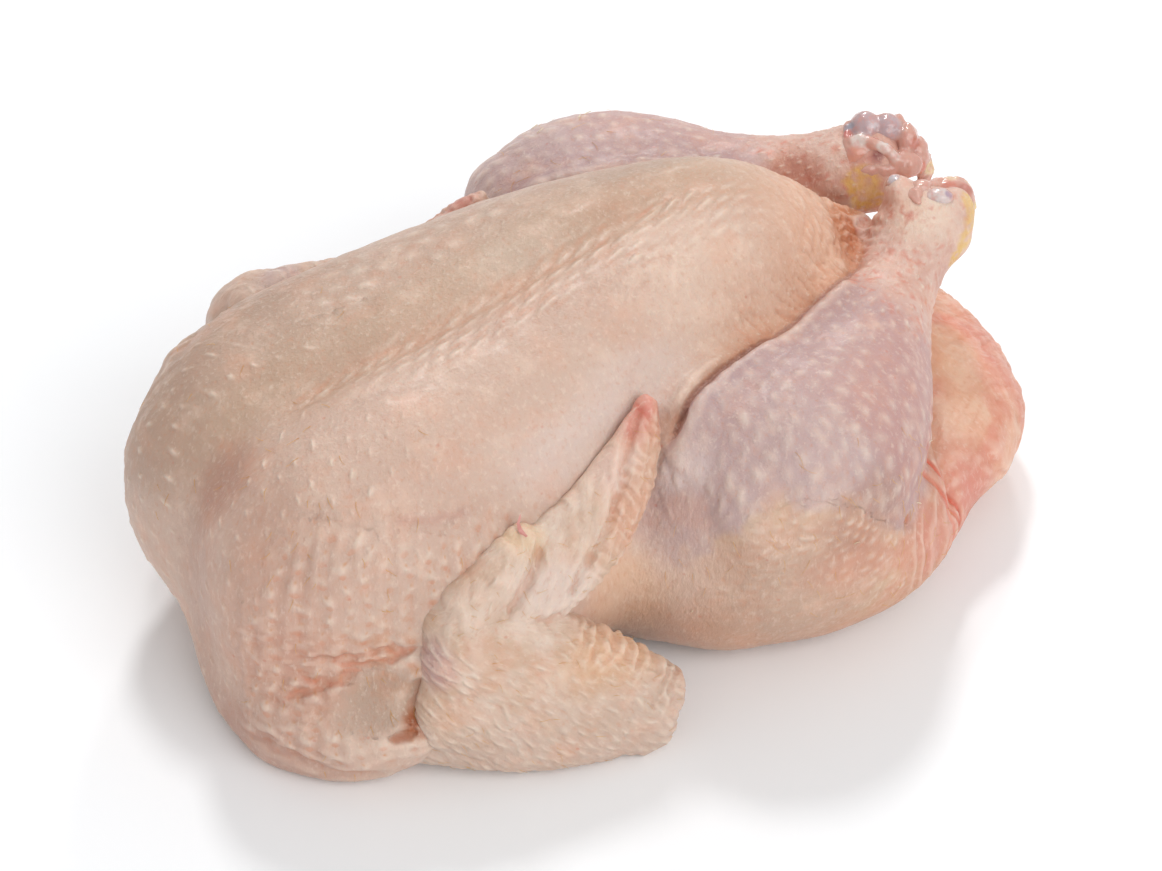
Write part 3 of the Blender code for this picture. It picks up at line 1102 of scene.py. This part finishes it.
def paint_breast(tint, points):
    """Cream skin over the breast, rosier at the front, with painted shade down its far left side, over the
    far front lobe, in the valley between the lobes, along the keel and in its crease with the leg.
    """
    x, y, z = points.T
    patch = clouds(points, 22, 51)
    tint.over("dfc2b0", ramp(0, 0.5, patch) * 0.35)
    tint.over("d2ad9a", ramp(0, 0.5, -patch) * 0.35)
    # Painted shade: the far, left side of the breast, turned from the light, is darkened.
    tint.over("b59a87", ramp(-10, 14, y) * ramp(50, 72, z) * 0.4)
    tint.over("cfae94", bell(y - 6, 10) * ramp(60, 80, z) * 0.6)
    # Painted shade on the near slope of the keel at the front.
    tint.over("c8a288", bell(y + 5, 6) * ramp(-74, -50, x) * ramp(60, 80, z) * 0.5)
    tint.patches(points, BREAST_TINTS)
    tint.over("c9988a", line_share(tint.skin, [(-54, -47, 78), (-46, -49, 76), (-38, -50, 76)], 1.2) * 0.5)
    tint.over("dba88b", by_crease(points, 14) * ramp(34, 58, x) * 0.7)
    tint.over("c8a28c", by_crease(points, 8) * ramp(62, 36, x) * 0.5)
    # Painted shade: the narrowest, darkest band by the crease with the leg.
    tint.over("b87f5f", by_crease(points, 3.5) * 0.45)
    tint.patches(points, KEEL_TINTS)
    before_wing = ball(outwards(points), (-66, 60, 44), (18, 16, 18))
    tint.over("d8946f", before_wing * ramp(-0.3, 0.4, clouds(points, 4, 83)) * 0.45)


def paint_legs(tint, points):
    """Mauve skin over the meat of each drumstick, and peach fat over the thigh below it, with painted shade
    beside the crease and on the drumstick's lower rear, and painted light where the wing shades the skin
    behind it and before the knee.
    """
    x, y, z = points.T
    outward = outwards(points)
    found = [(*leg_place(points, name), veil_edge(x, name)) for name in SIDES]
    along, around, on, edge = (np.where(y < 0, right, left) for right, left in zip(*found))
    low = ramp(edge - 4, edge + 4, z + clouds(points, 5, 61) * 6)
    tint.over("d8a182", ball(outward, (62, 74, 32), (66, 44, 48)) * 1.1)
    flushed = ramp(-0.3, 0.3, clouds(points, 10, 57))
    tint.over("d8a18a", ball(outward, (84, 78, 34), (40, 26, 24)) * flushed * 0.7)
    flecks = ramp(0.0, 0.3, clouds(points, 7, 59))
    tint.over("d9bc9c", ball(outward, (72, 80, 34), (50, 26, 26)) * flecks * 0.5)
    tint.patches(outward, THIGH_TINTS)
    scallops = bell(z - edge + 2 + clouds(points, 4, 87, 1) * 3, 3.5) * ramp(16, 28, x) * on
    tint.over("e0c2a6", scallops * 0.6)
    tint.over("c7ab9c", ball(outward, (60, 70, 4), (60, 40, 14)) * 0.5)
    tint.over("cbaeaa", on * low * span(along, -34, -12, 70, 90))
    tint.patches(outward, DRUMSTICK_TINTS, on * low)
    outside = np.maximum(beyond_crease(points), 0)
    beside = bell(outside, 17) * ramp(70, 76, z)
    # Painted shade on the leg beside its crease with the breast.
    tint.over("b29292", on * low * beside * span(x, 20, 40, 92, 106) * 0.75)
    tint.over("a87c6c", on * ball(outward, (61, 86, 57), (20, 11, 16)) * 0.5)
    tint.patches(outward, KNEE_TINTS)
    tint.over("c79790", on * ramp(18, 28, along) * bell(around + 1.2, 0.8) * 0.7)
    tint.over("e2bfb0", on * ramp(62, 78, along))
    bank = bell(outside, 7) * ramp(72, 77, z)
    # Painted shade along the leg's bank by the crease.
    tint.over("b0837a", on * bank * span(x, 56, 70, 90, 102) * 0.55)
    tint.over("daae9e", on * ramp(62, 78, along) * ramp(-0.1, 0.5, clouds(points, 5, 63)))
    specks = ramp(0.2, 0.45, clouds(points, 1.7, 65, 1))
    tint.over("d67f6c", on * ramp(58, 70, along) * specks * 0.6)
    tint.over("e3b797", ball(outward, (2, 60, 34), (18, 18, 26)) * 0.8)


def paint_rump(tint, points):
    """Orange and coral fat drawn tight behind the thighs, with fine darker lines and a patch of painted light
    where the leg shades it.
    """
    outward = outwards(points)
    rump = np.clip(ball(points, (128, -24, 32), (44, 60, 46)) * 1.6, 0, 1)
    tint.over("ecb497", rump * 0.95)
    tint.over("e08a78", rump * ramp(-0.1, 0.5, clouds(points, 16, 71, 3)) * 0.6)
    tint.over("efc9ae", rump * ramp(0.0, 0.5, clouds(points, 11, 95, 3)) * 0.6)
    lines = wrinkle(outward, STREAK_WAYS, (2.0, 20, 10), 109)
    tint.over("d4805f", rump * (1 - lines) ** 2 * 0.45)
    tint.patches(outward, RUMP_TINTS)
    for start, end, *_ in RUMP_CREASES[:2]:
        gap = np.minimum(*(rump_gap(points, start, end, side) for side in SIDES.values()))
        tint.over("d6735f", bell(gap, 3.2) * 0.3)
    tint.patches(outward, RUMP_EDGE_TINTS)


def paint_hocks(tint, points):
    """Skin round both cut joints: rosy rims, torn flecks and what is left of the yellow shank skin, with
    painted shade under the hocks and painted light on the right one.
    """
    hollow, bed, rim = (joint_place("left", place) for place in ((-1.3, 0.2, 12), (-2, -1, 12), (5, 0, 11)))
    around = np.clip(ball(points, bed, (11, 8, 8)) + ball(points, rim, (9, 8, 8)), 0, 1)
    tint.over("d79d8c", around * 1.2)
    tint.over("8f3a37", ball(points, hollow, (2.4, 2.0, 4)) * 1.6)
    tint.patches(points, HOCK_TINTS)
    torn = ramp(0.12, 0.4, clouds(points, (2.6, 2.6, 1.3), 97))
    tint.over("cf7a68", ball(points, (119, -17, 84), (11, 10, 11)) * torn * 0.75)
    tint.patches(points, BELOW_HOCK_SHADE)
    yellow = ramp(0, 0.5, sum(ball(points, place, (size,) * 3) for place, size in SHANK_SKIN))
    tint.over("ecc04f", yellow * ramp(-0.5, 0.1, clouds(points, 1.6, 85, 1)) * 0.7)


def body_tint(skin):
    tint = Tint(skin, "d8b8a6")
    for paint in (paint_breast, paint_legs, paint_rump, paint_hocks):
        paint(tint, skin.at)
    tint.keep()


# Patches of a wing with y outward, then what is darker on the left one.
WING_TINTS = (
    ("e5b894", (-6, 77, 35), (26, 12, 14), 0.9),
    ("e4cdc0", (-22, 68, 56), (16, 10, 12), 0.9),
    ("e0a88e", (4, 64, 66), (10, 9, 22), 0.7),
    ("e9c9ba", (4, 56, 76), (11, 9, 14), 0.9),
    ("d8806f", (14, 50, 82), (10, 8, 12), 0.8),
    ("d2503f", (18, 47, 87), (6, 7, 8), 1.6),
    ("c59d98", (-55, 65, 44), (7, 9, 10), 0.8),
    ("e8c9a6", (-26, 58, 67), (9, 7, 8), 0.8),
)
LEFT_WING_TINTS = (
    ("c0a6b4", (-30, 60, 66), (10, 8, 8), 0.8),
    ("cf9a80", (-44, 64, 50), (8, 8, 10), 0.7),
)


def wing_tint(skin, side):
    """Pale skin over a wing, orange in its folds and red at the cut tip; the left wing is darkened all over
    as painted shade.
    """
    points = skin.at * (1, side, 1)
    x, y, z = points.T
    tint = Tint(skin, "dfc3af")
    patch = clouds(points, 8, 91)
    tint.over("e9d3c2", ramp(0.0, 0.5, patch) * 0.7)
    tint.over("d2ad92", ramp(0.0, 0.5, -patch) * 0.6)
    tint.over("d3b8a8", ramp(34, 14, z) * 0.7)
    tint.patches(points, WING_TINTS)
    tint.over("dca88a", ramp(0.5, 2.5, 0.69 * x - 0.73 * z + 52) * ramp(56, 62, z) * 0.55)
    tint.over("cfae98", ball(points, (-10, 78, 22), (30, 14, 14)) * 0.35)
    if side > 0:
        # Painted shade: the far, left wing is darkened all over.
        tint.over("c4a293", np.full(len(x), 0.5))
        tint.patches(points, LEFT_WING_TINTS)
    tint.over("c08a72", ramp(60, 54, y) * span(z, 30, 36, 50, 56) * 0.6)
    tint.keep()


# ---------------------------------------------------------------- materials


def add(tree, kind, sockets=None, **settings):
    """Adds a node with its settings; its sockets take other nodes' outputs or plain values."""
    node = tree.nodes.new(kind)
    for key, value in settings.items():
        setattr(node, key, value)
    for key, value in (sockets or {}).items():
        if isinstance(value, bpy.types.NodeSocket):
            tree.links.new(value, node.inputs[key])
        else:
            node.inputs[key].default_value = value
    return node


def fresh_material(name):
    material = bpy.data.materials.new(name)
    material.use_nodes = True
    tree = material.node_tree
    tree.nodes.clear()
    return material, tree


def moist_skin():
    """Raw poultry skin: pale, moist, slightly see-through over fat, with feather pits and fine crinkles;
    painted shade in its hollows, creases and below each pit, and painted light on its raised places and
    bumps.
    """
    material, tree = fresh_material("moist poultry skin")
    place = add(tree, "ShaderNodeTexCoord").outputs["Object"]
    kept = {}
    for name in ("tint", "relief", "pits", "pit_form", "flow", "crease", "crease_tint"):
        kept[name] = add(tree, "ShaderNodeAttribute", attribute_name=name)
    noises = {
        "broad": (9, 6, 0.65),
        "mottled": (7, 6, 0.7),
        "wide": (16, 3, 0.6),
        "fine": (1.1, 4, 0.7),
        "grain": (3.0, 2, 0.5),
        "damp": (6, 3, 0.55),
    }
    value = {"relief": kept["relief"].outputs["Fac"], "height": 0.0}
    for name, (size, detail, rough) in noises.items():
        sockets = {"Vector": place, "Scale": 1000 / size, "Detail": detail, "Roughness": rough}
        value[name] = add(tree, "ShaderNodeTexNoise", sockets).outputs["Fac"]
    sockets = {"Vector": kept["flow"].outputs["Vector"], "Scale": 0.75, "Detail": 4, "Roughness": 0.6}
    value["dash"] = add(tree, "ShaderNodeTexNoise", sockets).outputs["Fac"]
    speck = add(tree, "ShaderNodeTexVoronoi", {"Vector": place, "Scale": 1000 / 9})
    value["speck"] = speck.outputs["Distance"]
    grid = kept["pits"].outputs["Vector"]
    value["strength"] = add(tree, "ShaderNodeSeparateXYZ", {0: grid}).outputs[2]
    within = add(tree, "ShaderNodeVectorMath", {0: grid}, operation="FRACTION").outputs[0]
    cell = add(tree, "ShaderNodeVectorMath", {0: within, 1: (0.5, 0.5, 0)}, operation="SUBTRACT").outputs[0]
    parts = (
        (kept["pit_form"].outputs["Vector"], ("wide pit", "long pit", "blush")),
        (cell, ("one way", "other way")),
        (kept["crease"].outputs["Vector"], ("gap", "sharpness")),
    )
    for source, names in parts:
        value.update(zip(names, add(tree, "ShaderNodeSeparateXYZ", {0: source}).outputs))
    # Each step makes or changes the value it names, from the values and numbers after its kind.
    steps = [
        ("across", "ADD", "one way", "other way"),
        ("across", "MULTIPLY", "across", 0.5),
        ("across", "MULTIPLY", "across", "wide pit"),
        ("up", "SUBTRACT", "one way", "other way"),
        ("up", "MULTIPLY", "up", 0.5),
        ("up", "MULTIPLY", "up", "long pit"),
    ]
    # A pit's bump, the shade below it and its dot are soft round spots this far up and this wide.
    for name, rise, width in (("bumps", 0.0, 0.9), ("under", -1.15, 0.8), ("dots", 0.75, 0.3)):
        steps += [
            (name, "SUBTRACT", "up", rise),
            (name, "MULTIPLY", name, name),
            (name, "MULTIPLY_ADD", "across", "across", name),
            (name, "MULTIPLY", name, -1 / width**2),
            (name, "EXPONENT", name),
        ]
    steps += [
        ("bumps", "MULTIPLY", "bumps", "strength"),
        ("under", "MULTIPLY_ADD", "bumps", -0.8, "under"),
        ("under", "MAP", "under", 0.1, 0.8),
        ("marked", "MULTIPLY", "strength", "blush"),
        ("under", "MULTIPLY", "under", "marked"),
        ("dots", "MULTIPLY", "dots", "marked"),
        ("pressed", "MULTIPLY_ADD", "dash", 0.4, "gap"),
        ("pressed", "MAP", "pressed", 1.5, 0.4),
        ("pressed", "MULTIPLY", "pressed", "sharpness"),
        ("damp", "MAP", "damp", 0.3, 0.7, 0.42, 0.58),
    ]
    for name, share in (("fine", 0.24), ("grain", 0.22), ("dash", -0.40), ("bumps", 0.30), ("pressed", -0.7)):
        steps.append(("height", "MULTIPLY_ADD", name, share, "height"))
    for name, kind, *sources in steps:
        sockets = {index: value.get(source, source) for index, source in enumerate(sources)}
        if kind == "MAP":
            node = add(tree, "ShaderNodeMapRange", sockets, interpolation_type="SMOOTHSTEP")
        else:
            node = add(tree, "ShaderNodeMath", sockets, operation=kind)
        value[name] = node.outputs[0]

    # Colours laid over the painted one: what each follows, its share, and from where to where it grows.
    layers = (
        ("efd3bf", "broad", 0.30, (0.48, 0.72)),
        ("c6917d", "mottled", 0.22, (0.5, 0.74)),
        ("e3a98c", "wide", 0.22, (0.5, 0.68)),
        # Painted shade in the hollows of the relief.
        ("c98260", "relief", 0.30, (-0.2, -1.0)),
        ("c98a68", "dash", 0.28, (0.54, 0.72)),
        ("f0decd", "dash", 0.24, (0.46, 0.30)),
        # Painted shade below each pit.
        ("cf8560", "under", 0.5, None),
        # Painted light on the raised places of the relief.
        ("f1dac8", "relief", 0.24, (0.15, 0.9)),
        # The bumps' own cream, and painted light on their tops.
        ("ecdccb", "bumps", 0.31, None),
        ("c9803f", "dots", 0.5, None),
        ("c8664e", "speck", 0.3, (0.07, 0.03)),
    )
    colour = kept["tint"].outputs["Color"]
    for code, source, share, ends in layers:
        if ends:
            sockets = {0: value[source], 1: ends[0], 2: ends[1], 4: share}
            much = add(tree, "ShaderNodeMapRange", sockets, interpolation_type="SMOOTHSTEP")
        else:
            much = add(tree, "ShaderNodeMath", {0: value[source], 1: share}, operation="MULTIPLY")
        sockets = {0: much.outputs[0], 6: colour, 7: linear(code)}
        colour = add(tree, "ShaderNodeMix", sockets, data_type="RGBA").outputs[2]
    # Painted shade in the sharp creases, and the rump creases' own red.
    sockets = {0: value["pressed"], 6: colour, 7: kept["crease_tint"].outputs["Color"]}
    colour = add(tree, "ShaderNodeMix", sockets, data_type="RGBA").outputs[2]
    bump = add(tree, "ShaderNodeBump", {"Height": value["height"], "Strength": 0.9, "Distance": 0.001})
    # A little light comes back from inside, so shadows stay warm, and a thin wet coat gives small highlights.
    looks = {
        "Base Color": colour,
        "Normal": bump.outputs[0],
        "Roughness": value["damp"],
        "IOR": 1.42,
        "Subsurface Weight": 0.2,
        "Subsurface Radius": (1.0, 0.45, 0.3),
        "Subsurface Scale": 0.003,
        "Coat Weight": 0.08,
        "Coat Roughness": 0.2,
    }
    shader = add(tree, "ShaderNodeBsdfPrincipled", looks)
    add(tree, "ShaderNodeOutputMaterial", {"Surface": shader.outputs[0]})
    return material


# ---------------------------------------------------------------- building

skin_finish = moist_skin()


def finished(made, relief, tint, triangles):
    """Gives a skin its relief, its colours and the skin material."""
    skin = Skin(made)
    relief(skin)
    tint(skin)
    skin.keep("relief", cavity(skin, 14, 0.5))
    made.data.materials.clear()
    made.data.materials.append(skin_finish)
    thinned(made, triangles)
    placed(made)
    return skin


skin_of_body = finished(body(), body_relief, body_tint, BODY_TRIANGLES)
skins = {}
for name, side in SIDES.items():
    forms, paint = (lambda skin: wing_relief(skin, side)), (lambda skin: wing_tint(skin, side))
    skins[name] = finished(wing_piece(name), forms, paint, WING_TRIANGLES)

# ---------------------------------------------------------------- hock joints


def tissue(name, streak):
    """Wet tissue of the cut joint: it takes its painted colour, with small streaks, under a clear film."""
    material, tree = fresh_material(name)
    place = add(tree, "ShaderNodeTexCoord").outputs["Object"]
    tint = add(tree, "ShaderNodeAttribute", attribute_name="tint").outputs["Color"]
    cloud = add(tree, "ShaderNodeTexNoise", {"Vector": place, "Scale": 600, "Detail": 4}).outputs["Fac"]
    much = add(tree, "ShaderNodeMapRange", {0: cloud, 1: 0.45, 2: 0.7, 4: 0.6}).outputs[0]
    mixed = add(tree, "ShaderNodeMix", {0: much, 6: tint, 7: linear(streak)}, data_type="RGBA").outputs[2]
    bump = add(tree, "ShaderNodeBump", {"Height": cloud, "Strength": 0.25, "Distance": 0.0006}).outputs[0]
    looks = {
        "Base Color": mixed,
        "Normal": bump,
        "Roughness": 0.24,
        "IOR": 1.4,
        "Subsurface Weight": 0.3,
        "Subsurface Radius": (1.0, 0.5, 0.4),
        "Subsurface Scale": 0.002,
        "Coat Weight": 0.6,
        "Coat Roughness": 0.08,
    }
    shader = add(tree, "ShaderNodeBsdfPrincipled", looks)
    add(tree, "ShaderNodeOutputMaterial", {"Surface": shader.outputs[0]})
    return material


def joint_part(name, part, forms, base, patches, finish):
    """Fuses lumps and tendons at a hock joint into one small piece and paints it in patches."""
    flesh = bmesh.new()
    for form, *values in forms:
        if form == "lump":
            lump(flesh, joint_place(name, values[0]), values[1])
        else:
            tendon(flesh, [joint_place(name, place) for place in values[0]], *values[1:])
    made = object_of(f"{name}_hock_{part}", flesh)
    fused(made, TISSUE_VOXEL, 4)
    skin = Skin(made)
    skin.push(clouds(skin.at, 2.4, 101, 3) * 0.3)
    tint = Tint(skin, base)
    for code, place, size in patches:
        tint.over(code, ball(skin.at, joint_place(name, place), (size,) * 3) * 1.4)
    tint.keep()
    made.data.materials.append(finish)
    placed(made)


wet_flesh = tissue("wet joint tissue", "cf958a")

RIGHT_JOINT = (
    ("lump", (4.3, 4.4, 6.4), (4.2, 2.8, 3.0)),
    ("lump", (-7.0, 8.6, 4.4), (2.8, 2.4, 2.6)),
    ("lump", (-1.8, 5.2, 7.6), (1.6, 2.0, 1.6)),
    ("lump", (-0.3, 7.4, 4.5), (2.8, 2.2, 2.7)),
    ("lump", (2.8, 7.9, 2.4), (2.2, 1.7, 2.2)),
    ("lump", (7.8, 7.0, 0.9), (6.0, 2.9, 2.4)),
    ("lump", (12.0, 3.8, 1.8), (2.6, 4.6, 2.4)),
    ("tendon", [(-4.8, 8.0, 5.4), (-3.6, 5.4, 7.4), (-1.4, 3.2, 8.8)], 1.1),
    (
        "tendon",
        [(2.4, 8.6, 2.6), (4.2, 9.5, 1.6), (7.6, 9.8, 0.8)]
        + [(11.4, 9.5, 0.2), (13.4, 6.6, 0.4), (14.2, 2.0, 1.4)],
        0.9,
        0.7,
    ),
)
RIGHT_TINTS = (
    ("dfcfcb", (4.3, 4.4, 8.5), 4.6),
    ("b9a3b0", (6.8, 5.2, 8), 1.6),
    ("ccc0c2", (-7.6, 9.4, 6), 2.4),
    ("d98f7d", (7.5, 7.0, 3.0), 3.2),
    ("b9685e", (2.0, 6.2, 5.0), 1.7),
    ("c98a7c", (11.6, 6.4, 2.6), 3.0),
    ("efd6b0", (8.0, 10.2, 0.2), 2.6),
    ("efd6b0", (13.6, 8.2, -0.2), 2.8),
    ("e8c46c", (14.8, 1.5, 1.5), 3.2),
)
LEFT_JOINT = (
    ("lump", (-4.2, 8.3, 6.4), (4.6, 4.6, 4.0)),
    ("lump", (1.5, 8.0, 5.9), (4.6, 4.4, 4.0)),
    (
        "tendon",
        [(-8.0, 4.0, 9.6), (-5.4, 4.8, 10.4), (-1.6, 3.3, 11.0), (1.6, 1.6, 11.2), (3.8, -0.8, 10.6)],
        1.8,
    ),
    ("lump", (0.3, 2.6, 11.9), (1.7, 1.5, 1.4)),
    ("lump", (4.9, 9.6, 4.8), (1.9, 2.9, 2.5)),
    ("lump", (7.3, 5.0, 5.6), (3.2, 4.8, 4.0)),
    ("lump", (10.3, 0.8, 4.4), (3.2, 5.6, 3.5)),
    ("lump", (6.0, -1.8, 8.4), (5.4, 4.0, 3.2)),
    ("lump", (-2.2, -3.4, 10.0), (6.5, 2.7, 2.4)),
    ("lump", (-6.3, 0.8, 9.8), (3.8, 4.6, 2.5)),
    ("lump", (-2.0, 0.2, 9.2), (4.4, 2.6, 1.6)),
    ("tendon", [(-8.8, 9.4, 6.0), (-9.4, 5.0, 8.8), (-9.2, 0.8, 10.2), (-8.0, -3.2, 10.8)], 1.2, 0.8),
    ("tendon", [(12.4, 0.8, 3.4), (13.0, -3.0, 3.2), (11.8, -6.0, 3.6)], 2.0, 0.4),
    ("tendon", [(8.6, 4.6, 4.6), (11.6, 3.0, 3.4), (13.2, -0.4, 3.2)], 1.0, 0.6),
)
LEFT_TINTS = (
    ("c3a9ac", (-4.4, 8.8, 8), 5.4),
    ("c3a9ac", (1.8, 8.4, 8), 5.2),
    ("a8a1ab", (-8.4, 8.0, 8), 2.4),
    ("dacbcd", (-2.0, 9.0, 11), 2.4),
    ("e6d6ce", (-6.4, 4.9, 12), 3.2),
    ("e6d6ce", (0.4, 2.6, 13), 2.8),
    ("e0c2b8", (3.4, 0.2, 12), 2.4),
    ("c98478", (-1.4, 5.6, 11), 1.5),
    ("8f3a37", (-1.3, 0.2, 11), 2.1),
    ("dd9c86", (-7.4, 0, 12), 3.4),
    ("c4695f", (-9.2, 6.5, 9), 1.8),
    ("cc8573", (9.0, 4.0, 8), 2.6),
    ("d77f66", (11.0, -2.6, 7), 2.4),
    ("ecd3ac", (13.4, -2.4, 3.4), 2.8),
    ("e2b96a", (12.6, 2.6, 3), 1.8),
)
joint_part("right", "joint", RIGHT_JOINT, "deae9e", RIGHT_TINTS, wet_flesh)
joint_part("left", "joint", LEFT_JOINT, "d9a898", LEFT_TINTS, wet_flesh)

# ---------------------------------------------------------------- claw, quills and hairs


def plain_tissue(name, code, other, roughness):
    """A thin horny part whose two tones run into each other."""
    material, tree = fresh_material(name)
    place = add(tree, "ShaderNodeTexCoord").outputs["Object"]
    cloud = add(tree, "ShaderNodeTexNoise", {"Vector": place, "Scale": 250, "Detail": 2}).outputs["Fac"]
    sockets = {0: cloud, 6: linear(code), 7: linear(other)}
    mixed = add(tree, "ShaderNodeMix", sockets, data_type="RGBA").outputs[2]
    shader = add(tree, "ShaderNodeBsdfPrincipled", {"Base Color": mixed, "Roughness": roughness, "IOR": 1.54})
    add(tree, "ShaderNodeOutputMaterial", {"Surface": shader.outputs[0]})
    return material


class Ground:
    """The surface of a finished skin, to lay hairs along."""

    def __init__(self, skin):
        self.at, self.normal = skin.at, skin.normal
        self.tree = KDTree(len(self.at))
        for index, point in enumerate(self.at):
            self.tree.insert(point, index)
        self.tree.balance()

    def laid(self, point, lift):
        """The point brought down to stand lift above the skin."""
        index = self.tree.find(point)[1]
        normal = self.normal[index]
        return point - normal * ((point - self.at[index]) @ normal - lift)


STRAND_STEPS = 4


def strand(ground, root, lean, length, turn, curl):
    """The path of one strand along the skin: it leans one way, turned aside a little, and curls."""
    normal = ground.normal[ground.tree.find(root)[1]]
    way = np.cross(normal, np.cross(lean, normal))
    way /= np.linalg.norm(way)
    way += np.cross(normal, way) * turn
    way /= np.linalg.norm(way)
    bend = np.cross(normal, way) * curl
    point = root
    yield point, 0
    for step in range(STRAND_STEPS):
        point = point + (way + bend * step) * length / STRAND_STEPS
        yield point, (step + 1) / STRAND_STEPS


def strands(name, ground, roots, lengths, radius, lift, finish, seed, taper=0.5):
    """One piece of many thin strands, each laid along the skin from its root and bent a little."""
    chance_of = random.Random(seed)
    bm = bmesh.new()
    for root, lean in roots:
        turn = chance_of.uniform(-0.9, 0.9)
        curl = chance_of.uniform(-0.35, 0.35)
        path = strand(ground, root, lean, chance_of.uniform(*lengths), turn, curl)
        laid = [ground.laid(point, lift * share if share else -0.3) for point, share in path]
        points = [Vector(place - np.array((*MIDDLE, PRESSED))) * MM for place in laid]
        rings = []
        for index, place in enumerate(points):
            ahead = (points[min(index + 1, STRAND_STEPS)] - points[max(index - 1, 0)]).normalized()
            size = radius * MM * (1 - (1 - taper) * index / STRAND_STEPS)
            across = ahead.orthogonal().normalized()
            rings.append((place, ahead.cross(across) * -size, across * size))
        swept(bm, rings, 3)
    bmesh.ops.recalc_face_normals(bm, faces=bm.faces)
    made = object_of(name, bm)
    made.data.materials.append(finish)
    declared(made)


def scattered(ground, count, seed, weight, lean):
    """Roots picked at random where weight is high."""
    picked = np.random.default_rng(seed).choice(len(ground.at), count, p=weight / weight.sum(), replace=False)
    return [(ground.at[index], np.array(lean, dtype=float)) for index in picked]


ground = Ground(skin_of_body)
x, y, z = ground.at.T
facing = ramp(0.1, 0.5, ground.normal[:, 2] - ground.normal[:, 1] * 0.6) * (z > 8)
on_legs = ball(ground.at, (60, -74, 40), (60, 40, 45)) + ball(ground.at, (62, 66, 62), (60, 40, 40)) * 0.6
hair = plain_tissue("fine yellow hair", "e0b468", "c8904e", 0.5)
roots = scattered(ground, 90, 7, on_legs * facing, (0.3, -0.2, -1))
strands("leg_hairs", ground, roots, (2.5, 6), 0.07, 0.5, hair, 11)
roots = scattered(ground, 70, 8, ramp(-20, -60, x) * facing, (0.2, 0, -1))
strands("front_hairs", ground, roots, (2, 4.5), 0.09, 0.4, hair, 12)
quill = plain_tissue("cream quill", "efe2cc", "d9c3a0", 0.35)
roots = scattered(ground, 9, 9, on_legs * facing, (0.9, -0.1, 0.2))
strands("quill_stubs", ground, roots, (1.4, 2.4), 0.2, 0.6, quill, 13, 0.7)
ground = Ground(skins["right"])
facing = ramp(0.1, 0.5, -ground.normal[:, 1] + ground.normal[:, 2] * 0.4)
roots = scattered(ground, 90, 10, facing, (0.7, 0, -0.5))
strands("wing_hairs", ground, roots, (1.5, 4), 0.07, 0.35, hair, 14)
roots = [(np.array((-25.0, -58.5, 68.0)), np.array((0.35, 0.1, 1.0)))]
claw = plain_tissue("pink claw", "d99a90", "c77f76", 0.3)
strands("right_claw", ground, roots, (5, 5.2), 0.8, 2.2, claw, 15, 0.15)

# ---------------------------------------------------------------- studio

# Softboxes: place in metres, size in metres and power in watts. A broad one in front, two small ones behind.
SOFTBOXES = (
    ((0.25, -2.0, 1.6), 2.2, 30),
    ((0.47, 1.08, 1.87), 0.35, 14),
    ((1.14, 1.47, 1.2), 0.35, 8),
)
ROOM_LIGHT = 0.56


def studio():
    """A matt white table in a white room, with soft light from all sides."""
    bpy.ops.mesh.primitive_plane_add(size=12)
    floor = bpy.context.object
    floor.name = "table"
    material, tree = fresh_material("matt white laminate")
    shader = add(tree, "ShaderNodeBsdfPrincipled", {"Base Color": linear("fbfdff"), "Roughness": 0.9})
    add(tree, "ShaderNodeOutputMaterial", {"Surface": shader.outputs[0]})
    floor.data.materials.append(material)
    for place, size, power in SOFTBOXES:
        light = bpy.data.lights.new("softbox", "AREA")
        light.shape = "DISK"
        light.size = size
        light.energy = power
        made = bpy.data.objects.new("softbox", light)
        made.location = place
        made.rotation_euler = (mm(0, 0, 40) - Vector(place)).to_track_quat("-Z", "Y").to_euler()
        scene.collection.objects.link(made)
    world = bpy.data.worlds.new("white room")
    scene.world = world
    world.use_nodes = True
    back = world.node_tree.nodes["Background"]
    back.inputs["Color"].default_value = (1, 1, 1, 1)
    back.inputs["Strength"].default_value = ROOM_LIGHT
    scene.view_settings.view_transform = "Standard"


# How the camera stands: degrees round from behind the bird's right side and down, metres off, focal length.
AZIMUTH, ELEVATION, DISTANCE, LENS = 31, 42, 1.1, 129.5


def camera():
    """Looks down on the bird's right side from the neck end."""
    azimuth, elevation = math.radians(AZIMUTH), math.radians(ELEVATION)
    level = Vector((math.sin(azimuth), math.cos(azimuth), 0))
    ahead = level * math.cos(elevation) - Vector((0, 0, math.sin(elevation)))
    right = Vector((math.cos(azimuth), -math.sin(azimuth), 0))
    turn = Matrix((right, right.cross(ahead), -ahead)).transposed().to_4x4()
    target = mm(17, -16, 50) - mm(*MIDDLE, PRESSED)
    made = bpy.data.objects.new("camera", bpy.data.cameras.new("camera"))
    made.matrix_world = Matrix.Translation(target - ahead * DISTANCE) @ turn
    made.data.sensor_width = 36
    made.data.lens = LENS
    made.data.clip_start = 0.05
    scene.collection.objects.link(made)
    scene.camera = made


studio()
camera()
